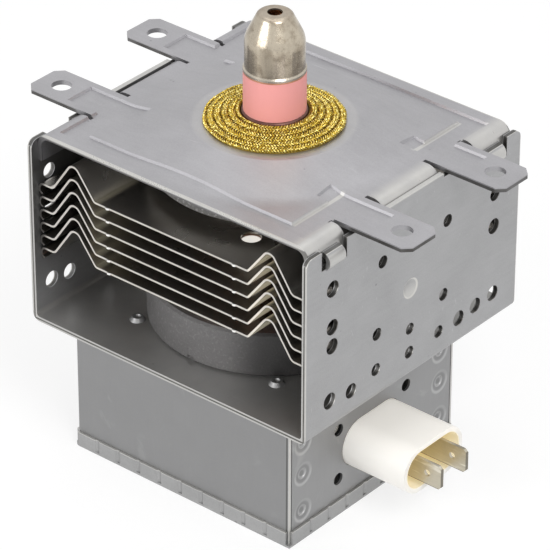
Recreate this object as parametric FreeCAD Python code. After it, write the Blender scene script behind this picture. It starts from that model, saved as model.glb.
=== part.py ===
import FreeCAD, Part
import math
import os

V = FreeCAD.Vector
ORIGIN = V(0, 0, 0)
UP = V(0, 0, 1)
os.makedirs("parts", exist_ok=True)

# Frame: the antenna axis is Z, and z = 0 is the top face of the mounting tabs.
# The side walls stand at -X and +X, and cooling air runs along Y.

# General clearances
FIT = 0.15
SEAT_GAP = 0.05

# Yoke frame
YOKE_WIDTH = 84.0
YOKE_DEPTH = 78.0
YOKE_BOTTOM = -50.6
YOKE_WALL = 1.3
YOKE_BEND = 0.8
WALL_TOP = -0.9
FLOOR_BORE_RADIUS = 10.8
NOTCH_BOTTOM = -6.6
NOTCH_LENGTH = 8.9
POST_LENGTH = 5.2
POST_ROUND = 2.0
POST_DROP = 0.85
LUG_LENGTH = 5.6
LUG_RADIUS = 2.4
LUG_SHEET = 1.2
LUG_DROP = 0.8
WALL_DIMPLE = (-1.4, -26.2, 2.7, 0.7)

# Holes of the side walls, each a place along the wall, a height and a diameter.
# The middle ones are placed from the antenna axis and the others from the nearer edge.
MIDDLE_HOLES = (
    (-11.9, -14.2, 3.2), (11.9, -14.2, 3.2), (-0.7, -14.7, 3.0),
    (-13.6, -32.8, 3.2), (-1.4, -37.2, 3.0), (11.0, -33.8, 3.2),
    (-13.8, -42.3, 3.2), (-1.5, -43.6, 3.2), (9.5, -43.3, 3.2),
)
RIGHT_FRONT_HOLES = (
    (9.2, -12.9, 4.2), (9.2, -23.0, 4.0), (9.2, -28.1, 4.0),
    (8.5, -42.5, 4.2), (16.2, -43.6, 3.8),
)
LEFT_FRONT_HOLES = (
    (5.7, -11.8, 3.8), (5.7, -21.1, 3.6), (5.5, -41.6, 4.2), (11.7, -42.3, 4.0),
)
BACK_HOLES = (
    (21.9, -43.3, 4.0), (15.6, -42.8, 4.0), (8.9, -42.6, 4.0),
    (9.3, -23.9, 4.0), (9.2, -15.2, 3.6),
)

# Top plate
PLATE_SHEET = 1.2
PLATE_DEPTH = 73.8
PLATE_BEND = 2.2
FLANGE_DROP = 7.4
RELIEF_X = 35.7
RELIEF_WIDTH = 1.1
TAB_HOLE_X = 51.3
TAB_HOLE_Y = 17.0
TAB_HOLE_DIAMETER = 5.0
TAB_WIDTH = 11.8
TAB_END_MARGIN = 6.2
TAB_CHAMFER = 1.9
CROWN_HEIGHT = 2.5
CROWN_FLAT_RADIUS = 19.2
CROWN_FOOT_RADIUS = 36.0
CROWN_BEND = 22.0
CROWN_RUNOUT = 2.0
PLATE_BORE_RADIUS = 9.4

# Pressed channel of the top plate
CHANNEL_DEPTH = 0.6
CHANNEL_SLOPE = 0.3
CHANNEL_WALL = 0.9
CHANNEL_OUTER_Y = 33.4
CHANNEL_INNER_Y = 30.4
CHANNEL_OUTER_X = 36.3
CHANNEL_INNER_X = 30.5
NECK_OUTER_X = 45.4
NECK_INNER_X = 27.6
NECK_MARGIN = 2.0
NECK_STEP_Y = 17.3

# Magnets
MAGNET_BORE_RADIUS = 11.5
MAGNET_CHAMFER = 0.6
UPPER_MAGNET_RADIUS = 29.5
UPPER_MAGNET_BOTTOM = -9.0
LOWER_MAGNET_RADIUS = 30.3
LOWER_MAGNET_HEIGHT = 11.8
MAGNET_NOTCH_RADIUS = 1.0
MAGNET_NOTCH_HEIGHT = 1.4

# Anode
ANODE_RADIUS = 20.5
ANODE_WALL = 2.7
VANE_COUNT = 10
VANE_SHEET = 1.9
VANE_HEIGHT = 9.5
VANE_TIP_RADIUS = 4.6
STRAP_SHEET = 0.8
STRAP_RADII = (5.8, 7.7)
STRAP_DEPTH = 1.0
STRAP_RELIEF = 0.4

# Pole pieces
POLE_SHEET = 1.5
POLE_CONE_RADIUS = 15.4
POLE_TIP_RADIUS = 9.2
POLE_HOLE_RADIUS = 4.8
POLE_DEPTH = 7.3
POLE_BEND = 1.0

# Cooling fins
FIN_COUNT = 6
FIN_SHEET = 0.5
FIN_DEPTH = 74.0
FIN_TOP = -12.3
FIN_PITCH = 3.5
FIN_VALLEY_X = 23.2
FIN_PEAK_X = 29.6
FIN_FOOT_X = 36.2
FIN_PEAK_RISE = 8.3
FIN_FOOT_DROP = 1.2
FIN_FLANGE = 2.2
FIN_LIP = 0.9
FIN_BEND = 0.7
FIN_END_BEND = 1.0
FIN_PEAK_BEND = 1.6
FIN_COLLAR = 1.1
FIN_COLLAR_BEND = 0.8
FIN_HOLE = (14.6, -25.6, 4.8)
FIN_NIB_X = 19.1
FIN_NIB_RADIUS = 0.7
FIN_MAGNET_CLEARANCE = 0.4

# Cathode
FILAMENT_RADIUS = 1.9
FILAMENT_WIRE = 0.5
FILAMENT_TURNS = 7
FILAMENT_LENGTH = 9.2
HAT_RADIUS = 3.7
HAT_SHEET = 1.0
LEAD_RADIUS = 0.7
SIDE_LEAD_X = 2.9
LEAD_STICKOUT = 3.4

# Cathode stem
STEM_CUP_RADIUS = 9.6
STEM_CUP_SHEET = 0.6
STEM_CERAMIC_TOP = -57.0
STEM_CERAMIC_HEIGHT = 8.5

# Antenna
SEAL_CUP_RADIUS = 7.9
SEAL_CUP_SHEET = 0.5
SEAL_CUP_TOP = 5.5
CERAMIC_RADIUS = 7.4
CERAMIC_WALL = 1.7
CERAMIC_TOP = 15.4
EXHAUST_RADIUS = 2.3
EXHAUST_WALL = 0.5
EXHAUST_TOP = 27.0
EXHAUST_FLANGE_SHEET = 0.4
ANTENNA_LEAD_RADIUS = 1.1
ANTENNA_LEAD_GAP = 1.2
ANTENNA_LEAD_FOOT_X = 8.6
CAP_RADIUS = 7.1
CAP_RIM_RADIUS = 7.45
CAP_RIM_HEIGHT = 0.9
CAP_SHEET = 0.5
CAP_SHOULDER = 24.2
CAP_SHOULDER_BEND = 6.0
CAP_TOP = 30.4
CAP_TOP_RADIUS = 4.0
CAP_TOP_BEND = 0.95
CAP_HOLE_RADIUS = 1.8

# Mesh gasket
GASKET_RADIUS = 16.7
GASKET_EDGE_HEIGHT = 0.7
GASKET_INNER_TOP = 5.5
GASKET_RINGS = 7
GASKET_RIDGE_LEAN = 0.1

# Filter box
BOX_CENTRE_X = -1.8
BOX_CENTRE_Y = -1.4
BOX_WIDTH = 66.6
BOX_DEPTH = 61.2
BOX_SHEET = 0.6
BOX_CORNER = 1.0
BOX_BOTTOM = -87.0
BOX_BORE_RADIUS = 11.4
LID_SKIRT = 4.0
LID_CORNER_GAP = 1.2
CRIMP_PITCH = 6.6
CRIMP_WIDTH = 1.8
CRIMP_DEPTH = 0.3
CLINCH_OFFSET_Y = 25.6
CLINCH_HEIGHTS = (-60.4, -69.0, -79.3)
CLINCH_RADIUS = 1.6
CLINCH_DEPTH = 0.5
CLINCH_DISH_RADIUS = 3.1
CLINCH_DISH_DEPTH = 0.28
SEAM_WIDTH = 0.3

# Rivets between the yoke floor and the filter box
RIVET_X = 21.5
RIVET_WALL_GAP = 1.9
RIVET_RADIUS = 1.3
RIVET_HEAD_RADIUS = 2.0
RIVET_HEAD_HEIGHT = 0.9
RIVET_PIT_CENTRE = 1.26

# Capacitor
CAP_AXIS_Z = -70.4
CASE_LENGTH_Y = 22.0
CASE_HEIGHT_Z = 12.4
CASE_WALL = 1.3
CASE_REACH = 18.3
CASE_INSIDE = 14.0
CASE_SHOULDER = 1.2
CASE_SHOULDER_LENGTH = 1.6
FILLING_DEPTH = 12.0
CAP_FLANGE_SHEET = 0.8
CAP_FLANGE_Y = 31.0
CAP_FLANGE_Z = 20.0
CAP_HOLE_Y = 12.6
CAP_HOLE_Z = 6.9
CAP_HOLE_DIAMETER = 3.2

# Terminal blades
BLADE_WIDTH = 6.35
BLADE_SHEET = 0.8
BLADE_PITCH = 9.4
BLADE_STICKOUT = 6.4
BLADE_TAIL = 2.0
BLADE_CHAMFER = 0.8
BLADE_HOLE_DIAMETER = 1.7
BLADE_HOLE_MARGIN = 4.2

# Choke coils
CHOKE_OFFSET_Y = 8.6
CHOKE_Z = -77.2
CHOKE_TURNS = 11
CHOKE_WIRE = 1.4
CHOKE_START_X = 8.0
CORE_RADIUS = 2.9
CORE_OVERHANG = 1.0

# Places that follow from the dimensions above
WALL_OUT_X = YOKE_WIDTH / 2
WALL_IN_X = WALL_OUT_X - YOKE_WALL
FLOOR_TOP = YOKE_BOTTOM + YOKE_WALL
TAB_WALL_TOP = -PLATE_SHEET - CHANNEL_DEPTH
TAB_INNER_Y = TAB_HOLE_Y - TAB_WIDTH / 2
TAB_OUTER_Y = TAB_HOLE_Y + TAB_WIDTH / 2
LOWER_MAGNET_TOP = FLOOR_TOP + LOWER_MAGNET_HEIGHT
POLE_RIM_RADIUS = ANODE_RADIUS + 0.8
UPPER_POLE_TOP = UPPER_MAGNET_BOTTOM - SEAL_CUP_SHEET
LOWER_POLE_BOTTOM = LOWER_MAGNET_TOP + STEM_CUP_SHEET
ANODE_TOP = UPPER_POLE_TOP - POLE_SHEET
ANODE_BOTTOM = LOWER_POLE_BOTTOM + POLE_SHEET
ANODE_MID = (ANODE_TOP + ANODE_BOTTOM) / 2
BOX_TOP = YOKE_BOTTOM
BOX_RIGHT = BOX_CENTRE_X + BOX_WIDTH / 2
CAP_AXIS_Y = BOX_CENTRE_Y
RIVET_Y = BOX_DEPTH / 2 + BOX_CENTRE_Y - BOX_SHEET - RIVET_HEAD_RADIUS - RIVET_WALL_GAP
CASE_MOUTH_X = BOX_RIGHT + CASE_REACH
CASE_REAR_X = BOX_RIGHT - CASE_INSIDE
FLANGE_X = BOX_RIGHT - BOX_SHEET - CAP_FLANGE_SHEET
BLADE_TIP_X = CASE_MOUTH_X + BLADE_STICKOUT
BLADE_TAIL_X = CASE_REAR_X - BLADE_TAIL


def box(x0, x1, y0, y1, z0, z1):
    """A block between two corners."""
    return Part.makeBox(x1 - x0, y1 - y0, z1 - z0, V(x0, y0, z0))


def rod(radius, start, end):
    """A round bar from one point to another."""
    axis = end.sub(start)
    return Part.makeCylinder(radius, axis.Length, start, axis)


def post(radius, z0, z1, x=0.0, y=0.0):
    """An upright round bar."""
    return Part.makeCylinder(radius, z1 - z0, V(x, y, z0))


def fuse_all(shapes):
    """One shape out of several that meet."""
    result = shapes[0]
    if len(shapes) > 1:
        result = result.multiFuse(shapes[1:])
    return result.removeSplitter()


def cut_all(shape, tools):
    """A shape with several others taken out of it."""
    return shape.cut(tools[0].multiFuse(tools[1:]) if len(tools) > 1 else tools[0])


def mirror_y(shape):
    """The shape reflected to the other side of the XZ plane."""
    return shape.mirror(ORIGIN, V(0, 1, 0))


def turn(a, b, c):
    """Signed turn of a path at b: positive to the left."""
    return (b[0] - a[0]) * (c[1] - b[1]) - (b[1] - a[1]) * (c[0] - b[0])


def unit(a, b):
    """Unit direction from a to b."""
    length = math.hypot(b[0] - a[0], b[1] - a[1])
    return ((b[0] - a[0]) / length, (b[1] - a[1]) / length)


def offset_path(points, distance, closed=False):
    """A path moved sideways to its left, with mitred corners."""
    count = len(points)
    moved = []
    for i, point in enumerate(points):
        before = points[i - 1] if (i > 0 or closed) else None
        after = points[(i + 1) % count] if (i < count - 1 or closed) else None
        d_in = unit(before, point) if before else unit(point, after)
        d_out = unit(point, after) if after else d_in
        n_in = (-d_in[1], d_in[0])
        n_out = (-d_out[1], d_out[0])
        scale = distance / (1.0 + n_in[0] * n_out[0] + n_in[1] * n_out[1])
        moved.append((point[0] + (n_in[0] + n_out[0]) * scale,
                      point[1] + (n_in[1] + n_out[1]) * scale))
    return moved


def bend_points(a, b, c, radius):
    """Start, middle and end of the arc that rounds the corner at b."""
    d_in = unit(a, b)
    d_out = unit(b, c)
    cos_turn = max(-1.0, min(1.0, d_in[0] * d_out[0] + d_in[1] * d_out[1]))
    half = math.acos(cos_turn) / 2
    back = radius * math.tan(half)
    start = (b[0] - d_in[0] * back, b[1] - d_in[1] * back)
    end = (b[0] + d_out[0] * back, b[1] + d_out[1] * back)
    chord = ((start[0] + end[0]) / 2, (start[1] + end[1]) / 2)
    inward = unit(b, chord)
    reach = radius / math.cos(half) - radius
    middle = (b[0] + inward[0] * reach, b[1] + inward[1] * reach)
    return start, middle, end


def sheet_face(points, sheet, bends):
    """Section of a bent sheet in the XZ plane, from its middle line."""
    edges = []
    corners = []
    for side in (1, -1):
        line = offset_path(points, side * sheet / 2)
        at = line[0]
        side_edges = []
        for i in range(1, len(line) - 1):
            inside = turn(*points[i - 1:i + 2]) * side > 0
            radius = bends[i - 1] + (0 if inside else sheet)
            start, middle, end = bend_points(line[i - 1], line[i], line[i + 1], radius)
            side_edges.append((at, None, start))
            side_edges.append((start, middle, end))
            at = end
        side_edges.append((at, None, line[-1]))
        edges.extend(side_edges)
        corners.append((line[0], line[-1]))
    edges.append((corners[0][0], None, corners[1][0]))
    edges.append((corners[0][1], None, corners[1][1]))
    return face_from(edges)


def face_from(pieces):
    """A face in the XZ plane from lines and arcs, each a start, middle and end."""
    edges = []
    for start, middle, end in pieces:
        a = V(start[0], 0, start[1])
        b = V(end[0], 0, end[1])
        if middle is None:
            edges.append(Part.LineSegment(a, b).toShape())
        else:
            edges.append(Part.Arc(a, V(middle[0], 0, middle[1]), b).toShape())
    return Part.Face(Part.Wire(Part.__sortEdges__(edges)))


def polygon_face(points):
    """A straight-sided face in the XZ plane."""
    closed = list(points) + [points[0]]
    return Part.Face(Part.makePolygon([V(x, 0, z) for x, z in closed]))


def ring_of(face):
    """The solid that a section in the XZ plane sweeps about the antenna axis."""
    return face.revolve(ORIGIN, UP, 360)


def lathe(points):
    """A turned solid from a straight-sided section."""
    return ring_of(polygon_face(points))


def tube(outer, inner, z0, z1):
    """A plain upright tube."""
    return post(outer, z0, z1).cut(post(inner, z0, z1))


def run_along_y(face, y0, y1):
    """A section in the XZ plane drawn out along Y."""
    moved = face.copy()
    moved.translate(V(0, y0, 0))
    return moved.extrude(V(0, y1 - y0, 0))


def plan_wire(points, z):
    """A closed outline in a level plane."""
    closed = list(points) + [points[0]]
    return Part.makePolygon([V(x, y, z) for x, y in closed])


def plan_block(points, z0, z1):
    """A level outline drawn up between two heights."""
    return Part.Face(plan_wire(points, z0)).extrude(V(0, 0, z1 - z0))


def stadium(half_y, half_z, x0, x1):
    """A bar along X with a round-ended section, centred on the capacitor's axis."""
    straight = half_y - half_z
    core = box(x0, x1, CAP_AXIS_Y - straight, CAP_AXIS_Y + straight,
               CAP_AXIS_Z - half_z, CAP_AXIS_Z + half_z)
    ends = [rod(half_z, V(x0, CAP_AXIS_Y + s * straight, CAP_AXIS_Z),
                V(x1, CAP_AXIS_Y + s * straight, CAP_AXIS_Z)) for s in (-1, 1)]
    return fuse_all([core] + ends)


def channel_outline():
    """Outline of the channel along the front edge, with its two tab necks."""
    neck_in = TAB_INNER_Y + NECK_MARGIN
    neck_out = TAB_OUTER_Y - NECK_MARGIN
    right = [
        (CHANNEL_INNER_X, -CHANNEL_INNER_Y), (CHANNEL_INNER_X, -NECK_STEP_Y),
        (NECK_INNER_X, -NECK_STEP_Y), (NECK_INNER_X, -neck_in),
        (NECK_OUTER_X, -neck_in), (NECK_OUTER_X, -neck_out),
        (CHANNEL_OUTER_X, -neck_out), (CHANNEL_OUTER_X, -CHANNEL_OUTER_Y),
    ]
    left = [(-x, y) for x, y in reversed(right)]
    return list(reversed(right + left))


def press_channel(plate):
    """The front channel pressed down into the plate, with sloping sides."""
    outline = channel_outline()
    slope = CHANNEL_SLOPE / CHANNEL_DEPTH
    low = -PLATE_SHEET - CHANNEL_DEPTH
    high = CROWN_HEIGHT + CHANNEL_DEPTH
    foot = plan_wire(offset_path(outline, -(low + CHANNEL_DEPTH) * slope, True), low)
    mouth = plan_wire(offset_path(outline, -(high + CHANNEL_DEPTH) * slope, True), high)
    hollow = Part.makeLoft([foot, mouth], True, True)
    pressed = plate.common(plan_block(offset_path(outline, -CHANNEL_WALL, True), low, high))
    pressed.translate(V(0, 0, -CHANNEL_DEPTH))
    return plate.cut(hollow).fuse(pressed)


def plate_tab(side_x, side_y):
    """One mounting tab with chamfered corners and its hole."""
    end = TAB_HOLE_X + TAB_END_MARGIN
    outline = [
        (RELIEF_X - 1, TAB_INNER_Y), (end - TAB_CHAMFER, TAB_INNER_Y),
        (end, TAB_INNER_Y + TAB_CHAMFER), (end, TAB_OUTER_Y - TAB_CHAMFER),
        (end - TAB_CHAMFER, TAB_OUTER_Y), (RELIEF_X - 1, TAB_OUTER_Y),
    ]
    placed = [(side_x * x, side_y * y) for x, y in outline]
    return plan_block(placed, -PLATE_SHEET, 0)


def make_top_plate():
    """Plate with side flanges, four tabs, a crowned middle and two channels."""
    edge_y = PLATE_DEPTH / 2
    middle_z = -PLATE_SHEET / 2
    flange_x = WALL_IN_X - PLATE_SHEET / 2
    section = sheet_face(
        [(-flange_x, -FLANGE_DROP), (-flange_x, middle_z), (flange_x, middle_z),
         (flange_x, -FLANGE_DROP)], PLATE_SHEET, [PLATE_BEND, PLATE_BEND])
    inner_end = TAB_INNER_Y - RELIEF_WIDTH
    outer_start = TAB_OUTER_Y + RELIEF_WIDTH
    pieces = [run_along_y(section, -inner_end, inner_end)]
    pieces.append(run_along_y(section, outer_start, edge_y))
    pieces.append(run_along_y(section, -edge_y, -outer_start))
    pieces.append(box(-RELIEF_X, RELIEF_X, -edge_y, edge_y, -PLATE_SHEET, 0))
    pieces.extend(plate_tab(sx, sy) for sx in (-1, 1) for sy in (-1, 1))
    plate = fuse_all(pieces)
    crown = ring_of(sheet_face(
        [(PLATE_BORE_RADIUS, CROWN_HEIGHT + middle_z),
         (CROWN_FLAT_RADIUS, CROWN_HEIGHT + middle_z),
         (CROWN_FOOT_RADIUS - CROWN_RUNOUT, middle_z),
         (CROWN_FOOT_RADIUS, middle_z)],
        PLATE_SHEET, [1.0, CROWN_BEND]))
    plate = plate.cut(post(CROWN_FOOT_RADIUS, -PLATE_SHEET, 0)).fuse(crown)
    plate = press_channel(plate)
    plate = mirror_y(press_channel(mirror_y(plate)))
    tools = []
    for sx in (-1, 1):
        for sy in (-1, 1):
            x = sorted((sx * RELIEF_X, sx * WALL_IN_X))
            for edge in (TAB_INNER_Y - RELIEF_WIDTH, TAB_OUTER_Y):
                y = sorted((sy * edge, sy * (edge + RELIEF_WIDTH)))
                tools.append(box(x[0], x[1], y[0], y[1], -FLANGE_DROP, 1))
            tools.append(post(TAB_HOLE_DIAMETER / 2, -FLANGE_DROP, 1,
                              sx * TAB_HOLE_X, sy * TAB_HOLE_Y))
    tools.append(post(UPPER_MAGNET_RADIUS + SEAT_GAP, -FLANGE_DROP, upper_magnet_top()))
    return cut_all(plate, tools).removeSplitter()


def wall_holes(side_x, front_holes):
    """Round punches through one side wall."""
    x0 = side_x * (WALL_IN_X - 1)
    x1 = side_x * (WALL_OUT_X + 1)
    edge = YOKE_DEPTH / 2
    holes = list(MIDDLE_HOLES)
    holes += [(place - edge, z, d) for place, z, d in front_holes]
    holes += [(edge - place, z, d) for place, z, d in BACK_HOLES]
    return [rod(d / 2, V(x0, y, z), V(x1, y, z)) for y, z, d in holes]


def post_rounding(side_x, side_y):
    """What is cut from a wall's corner post to lower its top and round it."""
    x = sorted((side_x * (WALL_IN_X - 1), side_x * (WALL_OUT_X + 1)))
    edge = YOKE_DEPTH / 2
    top = WALL_TOP - POST_DROP
    low = top - POST_ROUND
    centre_y = side_y * (edge - POST_ROUND)
    outer = sorted((centre_y, side_y * (edge + 1)))
    whole = sorted((side_y * (edge - POST_LENGTH - 1), side_y * (edge + 1)))
    corner = box(x[0], x[1], outer[0], outer[1], low, WALL_TOP + 1)
    corner = corner.cut(rod(POST_ROUND, V(x[0], centre_y, low), V(x[1], centre_y, low)))
    return corner.fuse(box(x[0], x[1], whole[0], whole[1], top, WALL_TOP + 1))


def locking_lug(side_x, side_y):
    """A strip of the wall bulged outward and curled over at the flange."""
    centre_z = NOTCH_BOTTOM + LUG_RADIUS - LUG_DROP
    centre_y = side_y * (YOKE_DEPTH / 2 - POST_LENGTH - NOTCH_LENGTH / 2)
    start = V(WALL_IN_X, centre_y - LUG_LENGTH / 2, centre_z)
    end = V(WALL_IN_X, centre_y + LUG_LENGTH / 2, centre_z)
    curl = rod(LUG_RADIUS, start, end).cut(rod(LUG_RADIUS - LUG_SHEET, start, end))
    reach = WALL_IN_X + 2 * LUG_RADIUS
    keep = box(WALL_IN_X, reach, start.y, end.y, centre_z - LUG_RADIUS,
               centre_z + LUG_RADIUS)
    curl = curl.common(keep)
    return curl if side_x > 0 else curl.mirror(ORIGIN, V(1, 0, 0))


def make_yoke_frame():
    """U-shaped frame: floor, two punched walls, notches and curled lugs."""
    wall_x = WALL_OUT_X - YOKE_WALL / 2
    floor_z = YOKE_BOTTOM + YOKE_WALL / 2
    half_depth = YOKE_DEPTH / 2
    section = sheet_face(
        [(-wall_x, WALL_TOP), (-wall_x, floor_z), (wall_x, floor_z), (wall_x, WALL_TOP)],
        YOKE_WALL, [YOKE_BEND, YOKE_BEND])
    frame = run_along_y(section, -half_depth, half_depth)
    tools = wall_holes(1, RIGHT_FRONT_HOLES) + wall_holes(-1, LEFT_FRONT_HOLES)
    for sx in (-1, 1):
        x = sorted((sx * (WALL_IN_X - 1), sx * (WALL_OUT_X + 1)))
        for sy in (-1, 1):
            under_tab = sorted((sy * (TAB_INNER_Y - RELIEF_WIDTH), sy * (TAB_OUTER_Y + 2)))
            notch_start = half_depth - POST_LENGTH - NOTCH_LENGTH
            notch = sorted((sy * notch_start, sy * (notch_start + NOTCH_LENGTH)))
            tools.append(box(x[0], x[1], under_tab[0], under_tab[1], TAB_WALL_TOP, 1))
            tools.append(box(x[0], x[1], notch[0], notch[1], NOTCH_BOTTOM, 1))
            tools.append(post_rounding(sx, sy))
    y, z, radius, depth = WALL_DIMPLE
    ball = (radius * radius + depth * depth) / (2 * depth)
    tools.append(Part.makeSphere(ball, V(WALL_OUT_X - depth + ball, y, z)))
    tools.append(post(FLOOR_BORE_RADIUS, YOKE_BOTTOM - 1, FLOOR_TOP + 1))
    for rx, ry in rivet_places():
        tools.append(post(RIVET_RADIUS, YOKE_BOTTOM - 1, FLOOR_TOP + 1, rx, ry))
    frame = cut_all(frame, tools)
    lugs = [locking_lug(sx, sy) for sx in (-1, 1) for sy in (-1, 1)]
    return fuse_all([frame] + lugs)


def rivet_places():
    """The four rivets of the yoke floor."""
    return [(sx * RIVET_X, sy * RIVET_Y) for sx in (-1, 1) for sy in (-1, 1)]


def make_box_rivets():
    """Four rivets through the yoke floor and the top of the filter box."""
    rivets = []
    low = BOX_TOP - BOX_SHEET
    for x, y in rivet_places():
        shank = post(RIVET_RADIUS, low, FLOOR_TOP, x, y)
        head = Part.makeCone(RIVET_HEAD_RADIUS, RIVET_RADIUS, RIVET_HEAD_HEIGHT,
                             V(x, y, FLOOR_TOP))
        foot = post(RIVET_HEAD_RADIUS, low - RIVET_HEAD_HEIGHT, low, x, y)
        pit = Part.makeSphere(RIVET_HEAD_HEIGHT, V(x, y, FLOOR_TOP + RIVET_PIT_CENTRE))
        rivets.append(fuse_all([shank, head, foot]).cut(pit))
    return Part.makeCompound(rivets)


def make_fin(index):
    """One folded fin: waved ends cut clear of the magnet, flanges and a collar."""
    level = FIN_TOP - index * FIN_PITCH
    low = level - FIN_FOOT_DROP
    flange_x = WALL_IN_X - SEAT_GAP - FIN_SHEET / 2
    lip_x = flange_x - FIN_LIP
    right = [
        (FIN_VALLEY_X, level), (FIN_PEAK_X, level + FIN_PEAK_RISE), (FIN_FOOT_X, low),
        (flange_x, low), (flange_x, low - FIN_FLANGE),
        (lip_x, low - FIN_FLANGE - FIN_LIP / 2),
    ]
    left = [(-x, z) for x, z in reversed(right)]
    side_bends = [FIN_BEND, FIN_PEAK_BEND, 2 * FIN_BEND, FIN_END_BEND, FIN_SHEET]
    bends = list(reversed(side_bends)) + side_bends
    sheet = run_along_y(sheet_face(left + right, FIN_SHEET, bends),
                        -FIN_DEPTH / 2, FIN_DEPTH / 2)
    collar_x = ANODE_RADIUS + FIN_SHEET / 2
    skirt = collar_x + FIN_COLLAR_BEND + FIN_SHEET
    x, y, diameter = FIN_HOLE
    tools = [post(skirt, level - 1, level + 1), post(diameter / 2, level - 1, level + 1, x, y)]
    low_face = level - FIN_SHEET / 2
    nibs = [post(FIN_NIB_RADIUS, low_face, low_face + FIN_SHEET, sx * FIN_NIB_X,
                 sy * (FIN_DEPTH / 2 - FIN_NIB_RADIUS / 2)) for sx in (-1, 1) for sy in (-1, 1)]
    relief = UPPER_MAGNET_BOTTOM - FIN_TOP - FIN_MAGNET_CLEARANCE
    tools.append(post(UPPER_MAGNET_RADIUS + FIN_MAGNET_CLEARANCE, level + relief,
                      level + FIN_PEAK_RISE))
    collar = ring_of(sheet_face(
        [(collar_x, level + FIN_COLLAR), (collar_x, level), (skirt, level)],
        FIN_SHEET, [FIN_COLLAR_BEND]))
    return fuse_all([cut_all(sheet, tools), collar] + nibs)


def crown_underside(radius):
    """Height of the underside of the crown's slope at a radius."""
    run = CROWN_FOOT_RADIUS - CROWN_RUNOUT - CROWN_FLAT_RADIUS
    fall = CROWN_HEIGHT / run
    slope_top = (CROWN_FOOT_RADIUS - CROWN_RUNOUT - radius) * fall
    return slope_top - PLATE_SHEET / 2 * (1 + math.sqrt(1 + fall * fall))


def upper_magnet_top():
    """Height at which the magnet's shoulder meets the slope of the crown."""
    return crown_underside(UPPER_MAGNET_RADIUS - MAGNET_CHAMFER) - SEAT_GAP


def make_upper_magnet():
    """Ring magnet whose shoulder bears on the slope of the crown."""
    section = magnet_section(UPPER_MAGNET_RADIUS, UPPER_MAGNET_BOTTOM, upper_magnet_top())
    return lathe(section)


def make_lower_magnet():
    """Ring magnet that stands on the yoke floor, with a locating notch in its foot."""
    ring = lathe(magnet_section(LOWER_MAGNET_RADIUS, FLOOR_TOP, LOWER_MAGNET_TOP))
    return ring.cut(post(MAGNET_NOTCH_RADIUS, FLOOR_TOP, FLOOR_TOP + MAGNET_NOTCH_HEIGHT,
                         0, -LOWER_MAGNET_RADIUS))


def magnet_section(radius, bottom, top):
    """Section of a ring magnet with broken edges."""
    c = MAGNET_CHAMFER
    return [(MAGNET_BORE_RADIUS, bottom), (radius - c, bottom), (radius, bottom + c),
            (radius, top - c), (radius - c, top), (MAGNET_BORE_RADIUS, top)]


def make_anode_cylinder():
    """Copper cylinder between the two pole pieces."""
    return tube(ANODE_RADIUS, ANODE_RADIUS - ANODE_WALL, ANODE_BOTTOM, ANODE_TOP)


def strap_slot(radius, relief):
    """Room for one strap at the top and the bottom of a vane."""
    depth = STRAP_DEPTH + relief
    inner = radius - FIT
    outer = radius + STRAP_SHEET + FIT
    high = ANODE_MID + VANE_HEIGHT / 2
    low = ANODE_MID - VANE_HEIGHT / 2
    return [tube(outer, inner, high - depth, high + 1), tube(outer, inner, low - 1, low + depth)]


def make_anode_vanes():
    """Ten vanes that reach in from the cylinder, slotted for the straps."""
    bore = post(ANODE_RADIUS - ANODE_WALL, ANODE_BOTTOM, ANODE_TOP)
    tip = post(VANE_TIP_RADIUS, ANODE_BOTTOM, ANODE_TOP)
    vanes = []
    for i in range(VANE_COUNT):
        blank = box(0, ANODE_RADIUS, -VANE_SHEET / 2, VANE_SHEET / 2,
                    ANODE_MID - VANE_HEIGHT / 2, ANODE_MID + VANE_HEIGHT / 2)
        vane = blank.common(bore).cut(tip)
        reliefs = (0, STRAP_RELIEF) if i % 2 else (STRAP_RELIEF, 0)
        for radius, relief in zip(STRAP_RADII, reliefs):
            vane = cut_all(vane, strap_slot(radius, relief))
        vane.rotate(ORIGIN, UP, 360 * i / VANE_COUNT)
        vanes.append(vane)
    return Part.makeCompound(vanes)


def make_strap_rings():
    """Two straps above and two below the vanes."""
    rings = []
    for radius in STRAP_RADII:
        high = ANODE_MID + VANE_HEIGHT / 2 - STRAP_DEPTH
        low = ANODE_MID - VANE_HEIGHT / 2 + STRAP_DEPTH
        rings.append(tube(radius + STRAP_SHEET, radius, high, high + STRAP_SHEET))
        rings.append(tube(radius + STRAP_SHEET, radius, low - STRAP_SHEET, low))
    return Part.makeCompound(rings)


def pole_piece(rim_z, inward):
    """Dished iron disc: rim on the anode's end, funnel towards the vanes."""
    middle = rim_z + inward * POLE_SHEET / 2
    tip = middle + inward * POLE_DEPTH
    return ring_of(sheet_face(
        [(POLE_RIM_RADIUS, middle), (POLE_CONE_RADIUS, middle), (POLE_TIP_RADIUS, tip),
         (POLE_HOLE_RADIUS, tip)], POLE_SHEET, [POLE_BEND, POLE_BEND]))


def make_upper_pole_piece():
    """Upper pole piece, with the hole that the antenna lead passes."""
    piece = pole_piece(UPPER_POLE_TOP, -1)
    hole = post(ANTENNA_LEAD_RADIUS + ANTENNA_LEAD_GAP, ANODE_MID, 0, ANTENNA_LEAD_FOOT_X, 0)
    return piece.cut(hole)


def make_lower_pole_piece():
    """Lower pole piece."""
    return pole_piece(LOWER_POLE_BOTTOM, 1)


def hat_faces():
    """Inner faces of the two end hats."""
    return ANODE_MID - FILAMENT_LENGTH / 2, ANODE_MID + FILAMENT_LENGTH / 2


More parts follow.
